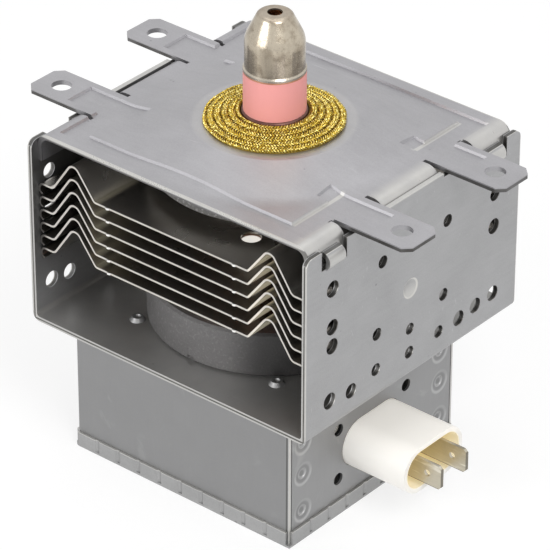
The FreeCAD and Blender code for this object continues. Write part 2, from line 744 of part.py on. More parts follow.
def make_filament_coil():
    """Directly heated filament: a helix between the end hats."""
    low, high = hat_faces()
    half = FILAMENT_WIRE / 2
    pitch = (high - low - FILAMENT_WIRE) / FILAMENT_TURNS
    helix = Part.makeHelix(pitch, pitch * FILAMENT_TURNS, FILAMENT_RADIUS)
    section = Part.makePolygon([
        V(FILAMENT_RADIUS + dx * half, 0, dz * half)
        for dx, dz in ((-1, -1), (1, -1), (1, 1), (-1, 1), (-1, -1))])
    coil = Part.Wire(helix).makePipeShell([section], True, True)
    coil.translate(V(0, 0, low + half))
    return coil


def make_end_hats():
    """The upper hat on the centre lead and the lower hat on the side lead."""
    low, high = hat_faces()
    upper = post(HAT_RADIUS, high, high + HAT_SHEET).cut(post(LEAD_RADIUS, high, high + HAT_SHEET))
    lower = post(HAT_RADIUS, low - HAT_SHEET, low)
    lower = lower.cut(post(LEAD_RADIUS + FIT, low - HAT_SHEET, low))
    return upper, lower


def make_cathode_leads():
    """Centre lead up to the upper hat and side lead up to the lower hat."""
    low, high = hat_faces()
    foot = STEM_CERAMIC_TOP - STEM_CERAMIC_HEIGHT - LEAD_STICKOUT
    centre = post(LEAD_RADIUS, foot, high + HAT_SHEET)
    side = post(LEAD_RADIUS, foot, low - HAT_SHEET, SIDE_LEAD_X, 0)
    return Part.makeCompound([centre, side])


def make_stem_ceramic():
    """Insulator that closes the tube and carries both leads."""
    low = STEM_CERAMIC_TOP - STEM_CERAMIC_HEIGHT
    body = post(STEM_CUP_RADIUS, low, STEM_CERAMIC_TOP)
    groove = tube(STEM_CUP_RADIUS + 1, STEM_CUP_RADIUS - 1, low + 1.5, low + 3.5)
    leads = [post(LEAD_RADIUS, low, STEM_CERAMIC_TOP, x, 0) for x in (0, SIDE_LEAD_X)]
    return cut_all(body, [groove] + leads)


def make_lower_seal_cup():
    """Metal cup from the lower pole piece down to the stem ceramic."""
    half = STEM_CUP_SHEET / 2
    flange_z = LOWER_MAGNET_TOP + half
    tube_x = STEM_CUP_RADIUS - half
    return ring_of(sheet_face(
        [(POLE_RIM_RADIUS, flange_z), (tube_x, flange_z), (tube_x, STEM_CERAMIC_TOP)],
        STEM_CUP_SHEET, [STEM_CUP_SHEET]))


def make_upper_seal_cup():
    """Metal cup from the upper pole piece up to the antenna ceramic."""
    half = SEAL_CUP_SHEET / 2
    flange_z = UPPER_MAGNET_BOTTOM - half
    tube_x = SEAL_CUP_RADIUS - half
    rim_x = CERAMIC_RADIUS - CERAMIC_WALL
    return ring_of(sheet_face(
        [(POLE_RIM_RADIUS, flange_z), (tube_x, flange_z),
         (tube_x, SEAL_CUP_TOP - half), (rim_x, SEAL_CUP_TOP - half)],
        SEAL_CUP_SHEET, [SEAL_CUP_SHEET, SEAL_CUP_SHEET / 2]))


def make_antenna_ceramic():
    """Pink insulating sleeve of the antenna."""
    return tube(CERAMIC_RADIUS, CERAMIC_RADIUS - CERAMIC_WALL, SEAL_CUP_TOP, CERAMIC_TOP)


def make_exhaust_tube():
    """Pumping tube on a thin flange, pinched shut over the antenna lead."""
    flange = tube(CERAMIC_RADIUS, EXHAUST_RADIUS, CERAMIC_TOP, CERAMIC_TOP + EXHAUST_FLANGE_SHEET)
    barrel = tube(EXHAUST_RADIUS, EXHAUST_RADIUS - EXHAUST_WALL, CERAMIC_TOP, EXHAUST_TOP)
    pinch_z = EXHAUST_TOP - 2 * EXHAUST_RADIUS
    flat = box(-EXHAUST_RADIUS, EXHAUST_RADIUS, -EXHAUST_WALL, EXHAUST_WALL,
               pinch_z, EXHAUST_TOP)
    barrel = barrel.cut(post(EXHAUST_RADIUS, pinch_z, EXHAUST_TOP))
    plug = post(EXHAUST_RADIUS, pinch_z - EXHAUST_WALL, pinch_z)
    return fuse_all([flange, barrel, plug, flat])


def make_antenna_lead():
    """Copper lead from a vane up into the exhaust tube."""
    vane_top = ANODE_MID + VANE_HEIGHT / 2
    clear_z = UPPER_MAGNET_BOTTOM
    join_z = CERAMIC_TOP
    end_z = EXHAUST_TOP - 2 * EXHAUST_RADIUS - EXHAUST_WALL
    points = [V(ANTENNA_LEAD_FOOT_X, 0, vane_top), V(ANTENNA_LEAD_FOOT_X, 0, ANODE_TOP - 2),
              V(0, 0, clear_z + 6), V(0, 0, end_z)]
    runs = [rod(ANTENNA_LEAD_RADIUS, a, b) for a, b in zip(points, points[1:])]
    joints = [Part.makeSphere(ANTENNA_LEAD_RADIUS, p) for p in points[1:-1]]
    return fuse_all(runs + joints)


def make_antenna_cap():
    """Drawn cap: flared rim, straight wall, tapered shoulder and a holed top."""
    rim = CERAMIC_TOP + EXHAUST_FLANGE_SHEET
    outside = [(CAP_RADIUS, rim), (CAP_RADIUS, CAP_SHOULDER), (CAP_TOP_RADIUS, CAP_TOP),
               (CAP_HOLE_RADIUS, CAP_TOP)]
    shell = ring_of(sheet_face(offset_path(outside, CAP_SHEET / 2), CAP_SHEET,
                               [CAP_SHOULDER_BEND, CAP_TOP_BEND]))
    inside = CAP_RADIUS - CAP_SHEET
    flare = lathe([(inside, rim), (CAP_RIM_RADIUS, rim), (CAP_RIM_RADIUS, rim + CAP_SHEET),
                   (CAP_RADIUS, rim + CAP_RIM_HEIGHT), (inside, rim + CAP_RIM_HEIGHT)])
    return fuse_all([shell, flare])


def make_mesh_gasket():
    """Woven ring on the crown, with one rounded ridge for each plait."""
    inner = SEAL_CUP_RADIUS + FIT
    base = CROWN_HEIGHT
    edge_top = base + GASKET_EDGE_HEIGHT
    width = (GASKET_RADIUS - inner) / GASKET_RINGS
    rise = (GASKET_INNER_TOP - edge_top) / GASKET_RINGS
    outline = [((inner, GASKET_INNER_TOP), None, (inner, base)),
               ((inner, base), None, (GASKET_RADIUS, base)),
               ((GASKET_RADIUS, base), None, (GASKET_RADIUS, edge_top))]
    for i in range(GASKET_RINGS):
        start = (GASKET_RADIUS - i * width, edge_top + i * rise)
        end = (start[0] - width, start[1] + rise)
        crest = ((start[0] + end[0]) / 2 + GASKET_RIDGE_LEAN, (start[1] + end[1]) / 2 + width / 4)
        outline.append((start, crest, end))
    return ring_of(face_from(outline))


def box_shell_block(grow, z0, z1):
    """The filter box's outer block, grown or shrunk in plan, folded round at -X."""
    x0 = BOX_CENTRE_X - BOX_WIDTH / 2 - grow
    x1 = BOX_CENTRE_X + BOX_WIDTH / 2 + grow
    y0 = BOX_CENTRE_Y - BOX_DEPTH / 2 - grow
    y1 = BOX_CENTRE_Y + BOX_DEPTH / 2 + grow
    block = box(x0, x1, y0, y1, z0, z1)
    radius = BOX_CORNER + grow
    if radius < 0.1:
        return block
    upright = [e for e in block.Edges if abs(e.tangentAt(e.FirstParameter).z) > 0.5
               and e.BoundBox.XMax < BOX_CENTRE_X]
    return block.makeFillet(radius, upright)


def clinch(y, z):
    """Dished ring with a pit, and the inner button, of one joint of the right-hand wall."""
    inward = V(-1, 0, 0)
    spot = V(BOX_RIGHT, y, z)
    dish = Part.makeCone(CLINCH_DISH_RADIUS, CLINCH_RADIUS, CLINCH_DISH_DEPTH, spot, inward)
    pit = Part.makeCone(CLINCH_RADIUS, CLINCH_RADIUS - CLINCH_DEPTH, CLINCH_DEPTH, spot, inward)
    inside = BOX_RIGHT - BOX_SHEET
    button = rod(CLINCH_RADIUS, V(inside, y, z), V(inside - CLINCH_DEPTH, y, z))
    return dish.fuse(pit), button


def make_filter_box():
    """Shield box, open below, with the capacitor's opening and clinched seams."""
    low = BOX_BOTTOM + BOX_SHEET
    outer = box_shell_block(0, low, BOX_TOP)
    inner = box_shell_block(-BOX_SHEET, low, BOX_TOP - BOX_SHEET)
    shell = outer.cut(inner)
    tools = [post(BOX_BORE_RADIUS, BOX_TOP - 1, BOX_TOP + 1)]
    tools += [post(RIVET_RADIUS, BOX_TOP - 1, BOX_TOP + 1, x, y) for x, y in rivet_places()]
    tools.append(stadium(CASE_LENGTH_Y / 2 + FIT, CASE_HEIGHT_Z / 2 + FIT,
                         BOX_RIGHT - 1, BOX_RIGHT + 1))
    tools += capacitor_holes()
    buttons = []
    for side in (-1, 1):
        for z in CLINCH_HEIGHTS:
            dent, button = clinch(BOX_CENTRE_Y + side * CLINCH_OFFSET_Y, z)
            tools.append(dent)
            buttons.append(button)
        seam_y = BOX_CENTRE_Y + side * (BOX_DEPTH / 2 - BOX_SHEET - SEAM_WIDTH / 2)
        tools.append(box(BOX_RIGHT - BOX_SHEET / 2, BOX_RIGHT + 1, seam_y - SEAM_WIDTH / 2,
                         seam_y + SEAM_WIDTH / 2, low, BOX_TOP - 2))
    return fuse_all([cut_all(shell, tools)] + buttons)


def capacitor_holes():
    """The four fixing holes round the capacitor."""
    places = [(sy * CAP_HOLE_Y, sz * CAP_HOLE_Z) for sy in (-1, 1) for sz in (-1, 1)]
    return [rod(CAP_HOLE_DIAMETER / 2, V(FLANGE_X - 1, CAP_AXIS_Y + y, CAP_AXIS_Z + z),
                V(BOX_RIGHT + 1, CAP_AXIS_Y + y, CAP_AXIS_Z + z)) for y, z in places]


def crimps_along(length):
    """Places of the crimps along one side, centred on it."""
    count = int((length - 2 * CRIMP_PITCH) // CRIMP_PITCH) + 1
    start = -(count - 1) * CRIMP_PITCH / 2
    return [start + i * CRIMP_PITCH for i in range(count)]


def make_filter_box_lid():
    """Lid whose skirt is crimped round the foot of the box."""
    top = BOX_BOTTOM + LID_SKIRT
    outer = box_shell_block(BOX_SHEET + SEAT_GAP, BOX_BOTTOM, top)
    inner = box_shell_block(SEAT_GAP, BOX_BOTTOM + BOX_SHEET, top)
    lid = outer.cut(inner)
    half_x = BOX_WIDTH / 2 + BOX_SHEET + SEAT_GAP
    half_y = BOX_DEPTH / 2 + BOX_SHEET + SEAT_GAP
    tools = []
    reach = CRIMP_WIDTH / 2
    for side in (-1, 1):
        for place in crimps_along(BOX_WIDTH):
            tools.append(post(reach, BOX_BOTTOM + BOX_SHEET, top, BOX_CENTRE_X + place,
                              BOX_CENTRE_Y + side * (half_y + reach - CRIMP_DEPTH)))
        for place in crimps_along(BOX_DEPTH):
            tools.append(post(reach, BOX_BOTTOM + BOX_SHEET, top,
                              BOX_CENTRE_X + side * (half_x + reach - CRIMP_DEPTH),
                              BOX_CENTRE_Y + place))
        for other in (-1, 1):
            x = BOX_CENTRE_X + side * half_x
            y = BOX_CENTRE_Y + other * half_y
            g = LID_CORNER_GAP
            tools.append(box(x - g, x + g, y - g, y + g, BOX_BOTTOM + BOX_SHEET, top))
    return cut_all(lid, tools).removeSplitter()


def make_capacitor_case():
    """Moulded sleeve that passes the wall and shrouds the blades."""
    half_y = CASE_LENGTH_Y / 2
    half_z = CASE_HEIGHT_Z / 2
    sleeve = stadium(half_y, half_z, CASE_REAR_X, CASE_MOUTH_X)
    shoulder = stadium(half_y + CASE_SHOULDER, half_z + CASE_SHOULDER,
                       FLANGE_X - CASE_SHOULDER_LENGTH, FLANGE_X)
    hollow = stadium(half_y - CASE_WALL, half_z - CASE_WALL, CASE_REAR_X, CASE_MOUTH_X)
    return fuse_all([sleeve, shoulder]).cut(hollow)


def make_capacitor_filling():
    """Insulating filling that holds the blades at the bottom of the sleeve."""
    block = stadium(CASE_LENGTH_Y / 2 - CASE_WALL, CASE_HEIGHT_Z / 2 - CASE_WALL,
                    CASE_REAR_X, CASE_MOUTH_X - FILLING_DEPTH)
    return cut_all(block, blade_blanks())


def make_capacitor_flange():
    """Earthing plate inside the wall, round the sleeve."""
    plate = box(FLANGE_X, FLANGE_X + CAP_FLANGE_SHEET, CAP_AXIS_Y - CAP_FLANGE_Y / 2,
                CAP_AXIS_Y + CAP_FLANGE_Y / 2, CAP_AXIS_Z - CAP_FLANGE_Z / 2,
                CAP_AXIS_Z + CAP_FLANGE_Z / 2)
    hole = stadium(CASE_LENGTH_Y / 2 + FIT, CASE_HEIGHT_Z / 2 + FIT, FLANGE_X - 1, FLANGE_X + 2)
    return cut_all(plate, [hole] + capacitor_holes())


def blade_places():
    """Y of the two blades."""
    return [CAP_AXIS_Y + side * BLADE_PITCH / 2 for side in (-1, 1)]


def blade_blanks():
    """The two blades before their tips are shaped."""
    half = BLADE_WIDTH / 2
    return [box(BLADE_TAIL_X, BLADE_TIP_X, y - BLADE_SHEET / 2, y + BLADE_SHEET / 2,
                CAP_AXIS_Z - half, CAP_AXIS_Z + half) for y in blade_places()]


def make_terminal_blades():
    """Two push-on blades with chamfered tips and a latch hole."""
    blades = []
    half = BLADE_WIDTH / 2
    for y, blank in zip(blade_places(), blade_blanks()):
        hole_x = BLADE_TIP_X - BLADE_HOLE_MARGIN
        tools = [rod(BLADE_HOLE_DIAMETER / 2, V(hole_x, y - 1, CAP_AXIS_Z),
                     V(hole_x, y + 1, CAP_AXIS_Z))]
        for side in (-1, 1):
            corner = polygon_face([
                (BLADE_TIP_X - BLADE_CHAMFER, CAP_AXIS_Z + side * half),
                (BLADE_TIP_X, CAP_AXIS_Z + side * (half - BLADE_CHAMFER)),
                (BLADE_TIP_X, CAP_AXIS_Z + side * half)])
            tools.append(run_along_y(corner, y - 1, y + 1))
        blades.append(cut_all(blank, tools))
    return Part.makeCompound(blades)


def choke_places():
    """Y of the two chokes."""
    return [CAP_AXIS_Y + side * CHOKE_OFFSET_Y for side in (-1, 1)]


def choke_length():
    """Wound length of a choke, turn beside turn."""
    return CHOKE_TURNS * CHOKE_WIRE


def make_choke_cores():
    """Two ferrite rods inside the coils."""
    cores = []
    for y in choke_places():
        start = V(CHOKE_START_X + CORE_OVERHANG, y, CHOKE_Z)
        end = V(CHOKE_START_X - choke_length() - CORE_OVERHANG, y, CHOKE_Z)
        cores.append(rod(CORE_RADIUS, start, end))
    return Part.makeCompound(cores)


def wound_sleeve():
    """Close-wound turns as one ridged sleeve about Z, starting at z = 0."""
    inner = CORE_RADIUS + SEAT_GAP
    crown = inner + CHOKE_WIRE
    valley = inner + CHOKE_WIRE / 2
    outline = [((valley, 0), None, (inner, 0)),
               ((inner, 0), None, (inner, choke_length())),
               ((inner, choke_length()), None, (valley, choke_length()))]
    for i in range(CHOKE_TURNS):
        z = i * CHOKE_WIRE
        outline.append(((valley, z), (crown, z + CHOKE_WIRE / 2), (valley, z + CHOKE_WIRE)))
    return ring_of(face_from(outline))


def choke_coil(y, blade_y, lead_x):
    """One wound coil with its two ends, to a blade and to a cathode lead."""
    sleeve = wound_sleeve()
    sleeve.rotate(ORIGIN, V(0, 1, 0), -90)
    sleeve.translate(V(CHOKE_START_X, y, CHOKE_Z))
    r = CHOKE_WIRE / 2
    top = CHOKE_Z + CORE_RADIUS + SEAT_GAP + r
    far = CHOKE_START_X - choke_length() + r
    lead_z = STEM_CERAMIC_TOP - STEM_CERAMIC_HEIGHT - LEAD_STICKOUT + r
    toward = 1 if y > CAP_AXIS_Y else -1
    stop_y = toward * (LEAD_RADIUS + SEAT_GAP)
    front = [V(CHOKE_START_X - r, y, top), V(CHOKE_START_X - r, y, CAP_AXIS_Z),
             V(CHOKE_START_X - r, blade_y, CAP_AXIS_Z), V(BLADE_TAIL_X, blade_y, CAP_AXIS_Z)]
    rear = [V(far, y, top), V(far, y, lead_z), V(lead_x, y, lead_z), V(lead_x, stop_y, lead_z)]
    pieces = [sleeve]
    for points in (front, rear):
        pieces += [rod(r, a, b) for a, b in zip(points, points[1:])]
        pieces += [Part.makeSphere(r, p) for p in points[1:-1]]
    return fuse_all(pieces)


def make_choke_coils():
    """The two coils between the capacitor and the cathode leads."""
    lead_xs = (0, SIDE_LEAD_X)
    coils = [choke_coil(y, blade_y, x)
             for y, blade_y, x in zip(choke_places(), blade_places(), lead_xs)]
    return Part.makeCompound(coils)


def save(name, shape):
    """Write one sub-part."""
    shape.exportStep("parts/" + name + ".step")


def main():
    save("top_plate", make_top_plate())
    save("yoke_frame", make_yoke_frame())
    for i in range(FIN_COUNT):
        save("cooling_fin_" + str(i + 1), make_fin(i))
    save("upper_magnet", make_upper_magnet())
    save("lower_magnet", make_lower_magnet())
    save("anode_cylinder", make_anode_cylinder())
    save("anode_vanes", make_anode_vanes())
    save("strap_rings", make_strap_rings())
    save("upper_pole_piece", make_upper_pole_piece())
    save("lower_pole_piece", make_lower_pole_piece())
    save("filament_coil", make_filament_coil())
    upper_hat, lower_hat = make_end_hats()
    save("upper_end_hat", upper_hat)
    save("lower_end_hat", lower_hat)
    save("cathode_leads", make_cathode_leads())
    save("stem_ceramic", make_stem_ceramic())
    save("lower_seal_cup", make_lower_seal_cup())
    save("upper_seal_cup", make_upper_seal_cup())
    save("antenna_lead", make_antenna_lead())
    save("antenna_ceramic", make_antenna_ceramic())
    save("exhaust_tube", make_exhaust_tube())
    save("antenna_cap", make_antenna_cap())
    save("mesh_gasket", make_mesh_gasket())
    save("filter_box", make_filter_box())
    save("filter_box_lid", make_filter_box_lid())
    save("box_rivets", make_box_rivets())
    save("capacitor_case", make_capacitor_case())
    save("capacitor_filling", make_capacitor_filling())
    save("capacitor_flange", make_capacitor_flange())
    save("terminal_blades", make_terminal_blades())
    save("choke_cores", make_choke_cores())
    save("choke_coils", make_choke_coils())


main()
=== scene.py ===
import math
import bmesh
import bpy
from mathutils import Matrix, Vector


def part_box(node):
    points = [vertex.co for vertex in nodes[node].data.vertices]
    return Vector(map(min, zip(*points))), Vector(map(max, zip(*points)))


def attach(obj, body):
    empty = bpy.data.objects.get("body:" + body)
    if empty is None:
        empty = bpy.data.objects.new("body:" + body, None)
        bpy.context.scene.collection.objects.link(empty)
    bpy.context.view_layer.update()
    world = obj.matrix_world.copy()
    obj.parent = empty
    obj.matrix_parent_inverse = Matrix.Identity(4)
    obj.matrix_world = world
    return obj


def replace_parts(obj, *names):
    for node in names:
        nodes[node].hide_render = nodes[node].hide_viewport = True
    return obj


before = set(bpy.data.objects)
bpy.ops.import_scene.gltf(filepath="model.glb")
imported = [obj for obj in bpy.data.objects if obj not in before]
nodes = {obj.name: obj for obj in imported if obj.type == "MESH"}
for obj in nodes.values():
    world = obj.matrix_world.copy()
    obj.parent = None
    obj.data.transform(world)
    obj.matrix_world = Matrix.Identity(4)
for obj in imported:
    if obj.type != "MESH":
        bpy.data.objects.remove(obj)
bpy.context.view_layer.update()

MM = 0.001


def mm(*lengths):
    """Lengths in millimetres, as metres."""
    return [length * MM for length in lengths]


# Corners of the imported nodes' boxes, in metres
PLATE_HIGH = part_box("top_plate")[1]
YOKE_LOW, YOKE_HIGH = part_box("yoke_frame")
FIN_LOW, FIN_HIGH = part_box("cooling_fin_1")
GASKET_LOW, GASKET_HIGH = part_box("mesh_gasket")
CAP_LOW, CAP_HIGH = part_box("antenna_cap")
BOX_LOW, BOX_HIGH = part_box("filter_box")
LID_LOW, LID_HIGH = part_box("filter_box_lid")
CASE_LOW, CASE_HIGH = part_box("capacitor_case")
BLADE_LOW, BLADE_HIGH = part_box("terminal_blades")

# The yoke's walls: half the width over them, their sheet, and half the width between them
WALL_OUT = 42.0 * MM
WALL_SHEET = 1.3 * MM
WALL_IN = WALL_OUT - WALL_SHEET

# The dimple of the right wall, where a highlight is painted: its middle, and the radii of its soft
# rim
DIMPLE_Y = -1.4 * MM
DIMPLE_Z = -26.2 * MM
DIMPLE_RIM = mm(2.2, 2.9)

# The four tabs of the top plate, and the heights between their sides, which get painted shade, and
# their top face
TAB_MIDDLE_Y = 17.0 * MM
TAB_HALF = 5.9 * MM
TAB_CORNER = 1.9 * MM
TAB_SIDE_TOP = mm(-0.45, -0.2)

# The heights between the lower and the upper half of the plate's sheet
SHEET_HALVES = mm(-1.0, -0.6)

# The coined ring round the gasket: radii where it starts, is full, fades and ends
COINED_RING = mm(16.2, 17.2, 18.6, 20.0)

# The inner wall of the plate's right channels, where a highlight is painted, and the stretch of Y
# that they run
CHANNEL_WALL_X = 30.8 * MM
CHANNEL_RUN = mm(12.0, 13.0, 30.0, 30.6)

# The plate's bend over the right wall, where a highlight is painted: where it starts, is full,
# fades and ends
RIGHT_BEND = [*mm(34.5, 38.5), WALL_OUT, WALL_OUT + 0.3 * MM]

# Clinched dishes of the filter box's right side: their middles, and radii of the rings of painted
# highlight and shade on them
DISH_MIDDLE_Y = -1.4 * MM
DISH_OFFSET_Y = 25.6 * MM
DISH_HEIGHTS = mm(-60.4, -69.0, -79.3)
DISH_RIM = mm(2.3, 2.7, 2.9, 3.4)
DISH_SLOPE = mm(1.4, 1.7, 2.0, 2.5)
DISH_PIT = mm(0.8, 1.1, 1.3, 1.6)
DISH_CENTRE = mm(0.5, 0.9)

# The painted white glow on the second fin, seen through the front hole of the first
PATCH_X = 12.0 * MM
PATCH_Y = -22.5 * MM
PATCH_Z = -15.8 * MM
PATCH_RIM = mm(2.2, 2.7)

# Where the fins glow: on the right slopes and in the left valley, up to a depth from the front
GLOW_SLOPE = mm(22.8, 23.6, 25.5, 29.4)
GLOW_VALLEY_X = -22.6 * MM
GLOW_DEPTH = 26.0 * MM

# How far the edge of the shade on the yoke's floor slants, in X for each length of Y
SHADE_SLANT = 0.84

# A height on the bend of the antenna cap's shoulder, where a highlight is painted
CAP_SHOULDER_Z = 23.2 * MM

# How far the base of the capacitor's case stands out round its sleeve
CASE_SHOULDER = 1.2 * MM

# The gasket's braid: rings of plaits, each of strands that wind round the plait's middle
GASKET_BORE = 8.3 * MM
RINGS = 10
STRANDS = 2
WIRE_RADIUS = 0.2 * MM
WIRE_ROUNDING = 1
TWIST_RADIUS = 0.3 * MM
TWIST_FLATNESS = 0.9
TWIST_PITCH = 1.4 * MM
STEPS_PER_TWIST = 9

# How a plait swells: slow waves round its ring, and quick ones that differ between strands
SLOW_SWELL, SLOW_WAVES = 0.12, 5
QUICK_SWELL, QUICK_WAVES, WAVES_PER_RING = 0.3, 61, 7
STRAND_SHIFT, RING_SHIFT = 2.3, 1.7

# Heights of the plaits' middles: over the gasket's foot at its rim, and under its top
BRAID_OVER_FOOT = 0.55 * MM
BRAID_UNDER_TOP = 0.6 * MM

# The core under the braid: how far it reaches past the bore and short of the rim, its heights
CORE_PAST_BORE = 0.2 * MM
CORE_SHORT_OF_RIM = 0.25 * MM
CORE_RIM_HEIGHT = 0.35 * MM
CORE_UNDER_TOP = 0.7 * MM
CORE_STEPS = 160

# Colours laid on by masks: a pale one for bright cut edges and painted highlights, a dark one for
# dark edge lines and painted shade
BRIGHT_EDGE_AND_HIGHLIGHT = (0.62, 0.61, 0.58)
DARK_EDGE_AND_SHADE = (0.045, 0.042, 0.036)

# The floor: half its width, how much of it glows for the camera, and how strongly
FLOOR_HALF = 4.0
FLOOR_GLOW = 0.66
FLOOR_STRENGTH = 1.13

# How strongly the sky lights the object, and the point that the softboxes face
SKY_LEVEL = 0.34
LIGHT_AIM = Vector((0, 0, -0.02))

# The camera of the photograph
CAMERA_PLACE = Vector((528.313, -630.650, 469.202)) * MM
CAMERA_AZIMUTH = math.radians(39.942)
CAMERA_ELEVATION = math.radians(31.760)
CAMERA_ROLL = math.radians(0.161)
FOCAL_LENGTH = 267.44
SENSOR = 36.0


class Tone:
    """A number or colour in a pattern that Python's operators combine."""

    def __init__(self, pattern, socket):
        self.pattern = pattern
        self.socket = socket

    def maths(self, operation, *terms):
        """A Math node on some terms."""
        return self.pattern.add("ShaderNodeMath", {"operation": operation}, dict(enumerate(terms)))

    def __add__(self, other):
        return self.maths("ADD", self, other)

    __radd__ = __add__

    def __sub__(self, other):
        return self.maths("SUBTRACT", self, other)

    def __rsub__(self, other):
        return self.maths("SUBTRACT", other, self)

    def __mul__(self, other):
        return self.maths("MULTIPLY", self, other)

    __rmul__ = __mul__

    def __pow__(self, other):
        return self.maths("POWER", self, other)

    def __abs__(self):
        return self.maths("ABSOLUTE", self)

    def at_least(self, other):
        """The larger of two."""
        return self.maths("MAXIMUM", self, other)

    def above(self, low, high):
        """0 below low, 1 above high, and smooth between."""
        return self.pattern.add(
            "ShaderNodeMapRange", {"interpolation_type": "SMOOTHSTEP"},
            {"Value": self, "From Min": low, "From Max": high})

    def below(self, low, high):
        """1 below low, 0 above high, and smooth between."""
        return 1 - self.above(low, high)

    def within(self, start, full, fade, end):
        """1 from full to fade, 0 outside start and end, and smooth between."""
        return self.above(start, full) * self.below(fade, end)

    def rises_to(self, edge, start, full):
        """0 until start mm short of an edge, and 1 from full mm short of it."""
        return self.above(edge - start * MM, edge - full * MM)

    def falls_from(self, edge, start, end):
        """1 until start mm past an edge, and 0 from end mm past it."""
        return self.below(edge + start * MM, edge + end * MM)

    def near(self, middle, full, end):
        """1 up to full mm from a middle, and 0 from end mm away."""
        return abs(self - middle).below(full * MM, end * MM)


class Pattern:
    """A node tree, and the nodes that are added to it."""

    # Sockets of a Mix node that mixes colours
    SHARE, FIRST, SECOND, MIXED = 0, 6, 7, 2

    def __init__(self, tree):
        self.tree = tree

    def add(self, kind, settings=None, inputs=None, output=0):
        """Adds a node: its settings first, then the values or links of its sockets."""
        node = self.tree.nodes.new(kind)
        for name, value in (settings or {}).items():
            setattr(node, name, value)
        for name, value in (inputs or {}).items():
            self.put(node.inputs[name], value)
        return Tone(self, node.outputs[output])

    def put(self, socket, value):
        """Links a tone to a socket, or sets its value."""
        if isinstance(value, Tone):
            self.tree.links.new(value.socket, socket)
        elif socket.type == "RGBA" and len(value) == 3:
            socket.default_value = (*value, 1.0)
        else:
            socket.default_value = value

    def mix(self, first, second, share):
        """Colour between two, by a share from 0 to 1."""
        return self.add("ShaderNodeMix", {"data_type": "RGBA"},
                        {self.SHARE: share, self.FIRST: first, self.SECOND: second}, self.MIXED)

    def shade(self, colour, amount):
        """A colour made lighter or darker by an amount round 1."""
        grey = self.add("ShaderNodeCombineXYZ", None, {"X": amount, "Y": amount, "Z": amount})
        return self.add("ShaderNodeMix", {"data_type": "RGBA", "blend_type": "MULTIPLY"},
                        {self.SHARE: 1.0, self.FIRST: colour, self.SECOND: grey}, self.MIXED)

    def seen_share(self):
        """1 for rays that should meet the white background: camera, glossy and transmission."""
        camera, glossy, through = [
            self.add("ShaderNodeLightPath", output=name)
            for name in ("Is Camera Ray", "Is Glossy Ray", "Is Transmission Ray")]
        return camera.at_least(glossy).at_least(through)


class Finish(Pattern):
    """One material: its shader and its pattern, which follows the object's coordinates."""

    def __init__(self, name):
        self.material = bpy.data.materials.new(name)
        self.material.use_nodes = True
        super().__init__(self.material.node_tree)
        self.shader = self.tree.nodes["Principled BSDF"]
        self.place = self.add("ShaderNodeTexCoord", output="Object")

    def axis(self, name):
        """One object coordinate, in metres."""
        return self.add("ShaderNodeSeparateXYZ", None, {"Vector": self.place}, name)

    def noise(self, size, detail=3.0, stretch=(1, 1, 1), twist=0.0):
        """Cloudy pattern with patches of a size in mm, longer along a stretched axis."""
        scaled = self.add("ShaderNodeMapping", None,
                          {"Vector": self.place, "Scale": [1 / s for s in stretch]})
        return self.add("ShaderNodeTexNoise", None, {
            "Vector": scaled, "Scale": 1 / (size * MM), "Detail": detail, "Distortion": twist})

    def flecks(self, size, share):
        """Small spots, a share of the surface, one or none in each cell of a size in mm."""
        spread = self.add("ShaderNodeTexVoronoi", None,
                          {"Vector": self.place, "Scale": 1 / (size * MM)}, "Distance")
        return spread.below(share * 0.5, share)

    def relief(self, height, depth):
        """Bump of a height pattern, with its depth in mm."""
        bump = self.add("ShaderNodeBump", None, {"Height": height, "Distance": depth * MM},
                        "Normal")
        self.put(self.shader.inputs["Normal"], bump)

    def done(self, colour, roughness, metallic, glow=None, **rest):
        """Sets the shader's sockets and gives the material."""
        values = {"Base Color": colour, "Roughness": roughness, "Metallic": metallic, **rest}
        if glow:
            values.update({"Emission Color": glow, "Emission Strength": 1.0})
        for name, value in values.items():
            self.put(self.shader.inputs[name], value)
        return self.material


def distance(first, second):
    """Distance from a point, of two tones that each measure it along one axis."""
    return (first ** 2.0 + second ** 2.0) ** 0.5


def plated_steel(name, colour, roughness, bright_edges_and_highlights=None, along=(1, 6, 1), dark_lines_and_shade=None):
    """Zinc-plated sheet: cloudy spangle, rolling lines and grain, and where masks are given,
    bright cut edges with painted highlights and dark edge lines with painted shade.
    """
    f = Finish(name)
    cloud = f.noise(22, 4, twist=0.6)
    patch = f.noise(6, 3)
    lines = f.noise(0.5, 2, [s * 2 for s in along])
    grain = f.noise(0.35, 2)
    scratch = f.noise(0.9, 2, (14, 1, 3), twist=0.4).above(0.71, 0.76)
    specks = f.flecks(5.5, 0.07) * f.noise(14, 2).above(0.5, 0.62)
    amount = 0.66 + cloud * 0.22 + patch * 0.12 + lines * 0.1 + grain * 0.24
    tone = f.shade(colour, amount)
    tone = f.mix(tone, [min(1.0, c * 1.35) for c in colour], scratch * 0.35)
    tone = f.mix(tone, [c * 0.35 for c in colour], specks * 0.55)
    rough = roughness + cloud * 0.1 - scratch * 0.08 + grain * 0.05
    # Bright cut edges and painted highlights, laid on in a pale colour
    if bright_edges_and_highlights:
        edge = bright_edges_and_highlights(f)
        tone = f.mix(tone, BRIGHT_EDGE_AND_HIGHLIGHT, edge * (0.35 + patch * 0.5))
        rough = rough - edge * 0.1
    # Dark edge lines and painted shade, laid on in a dark colour
    if dark_lines_and_shade:
        tone = f.mix(tone, DARK_EDGE_AND_SHADE, dark_lines_and_shade(f) * (0.5 + patch * 0.6))
    f.relief(cloud * 0.5 + lines * 0.12 + grain * 0.15 - scratch * 0.1, 0.05)
    return f.done(tone, rough, 0.85)


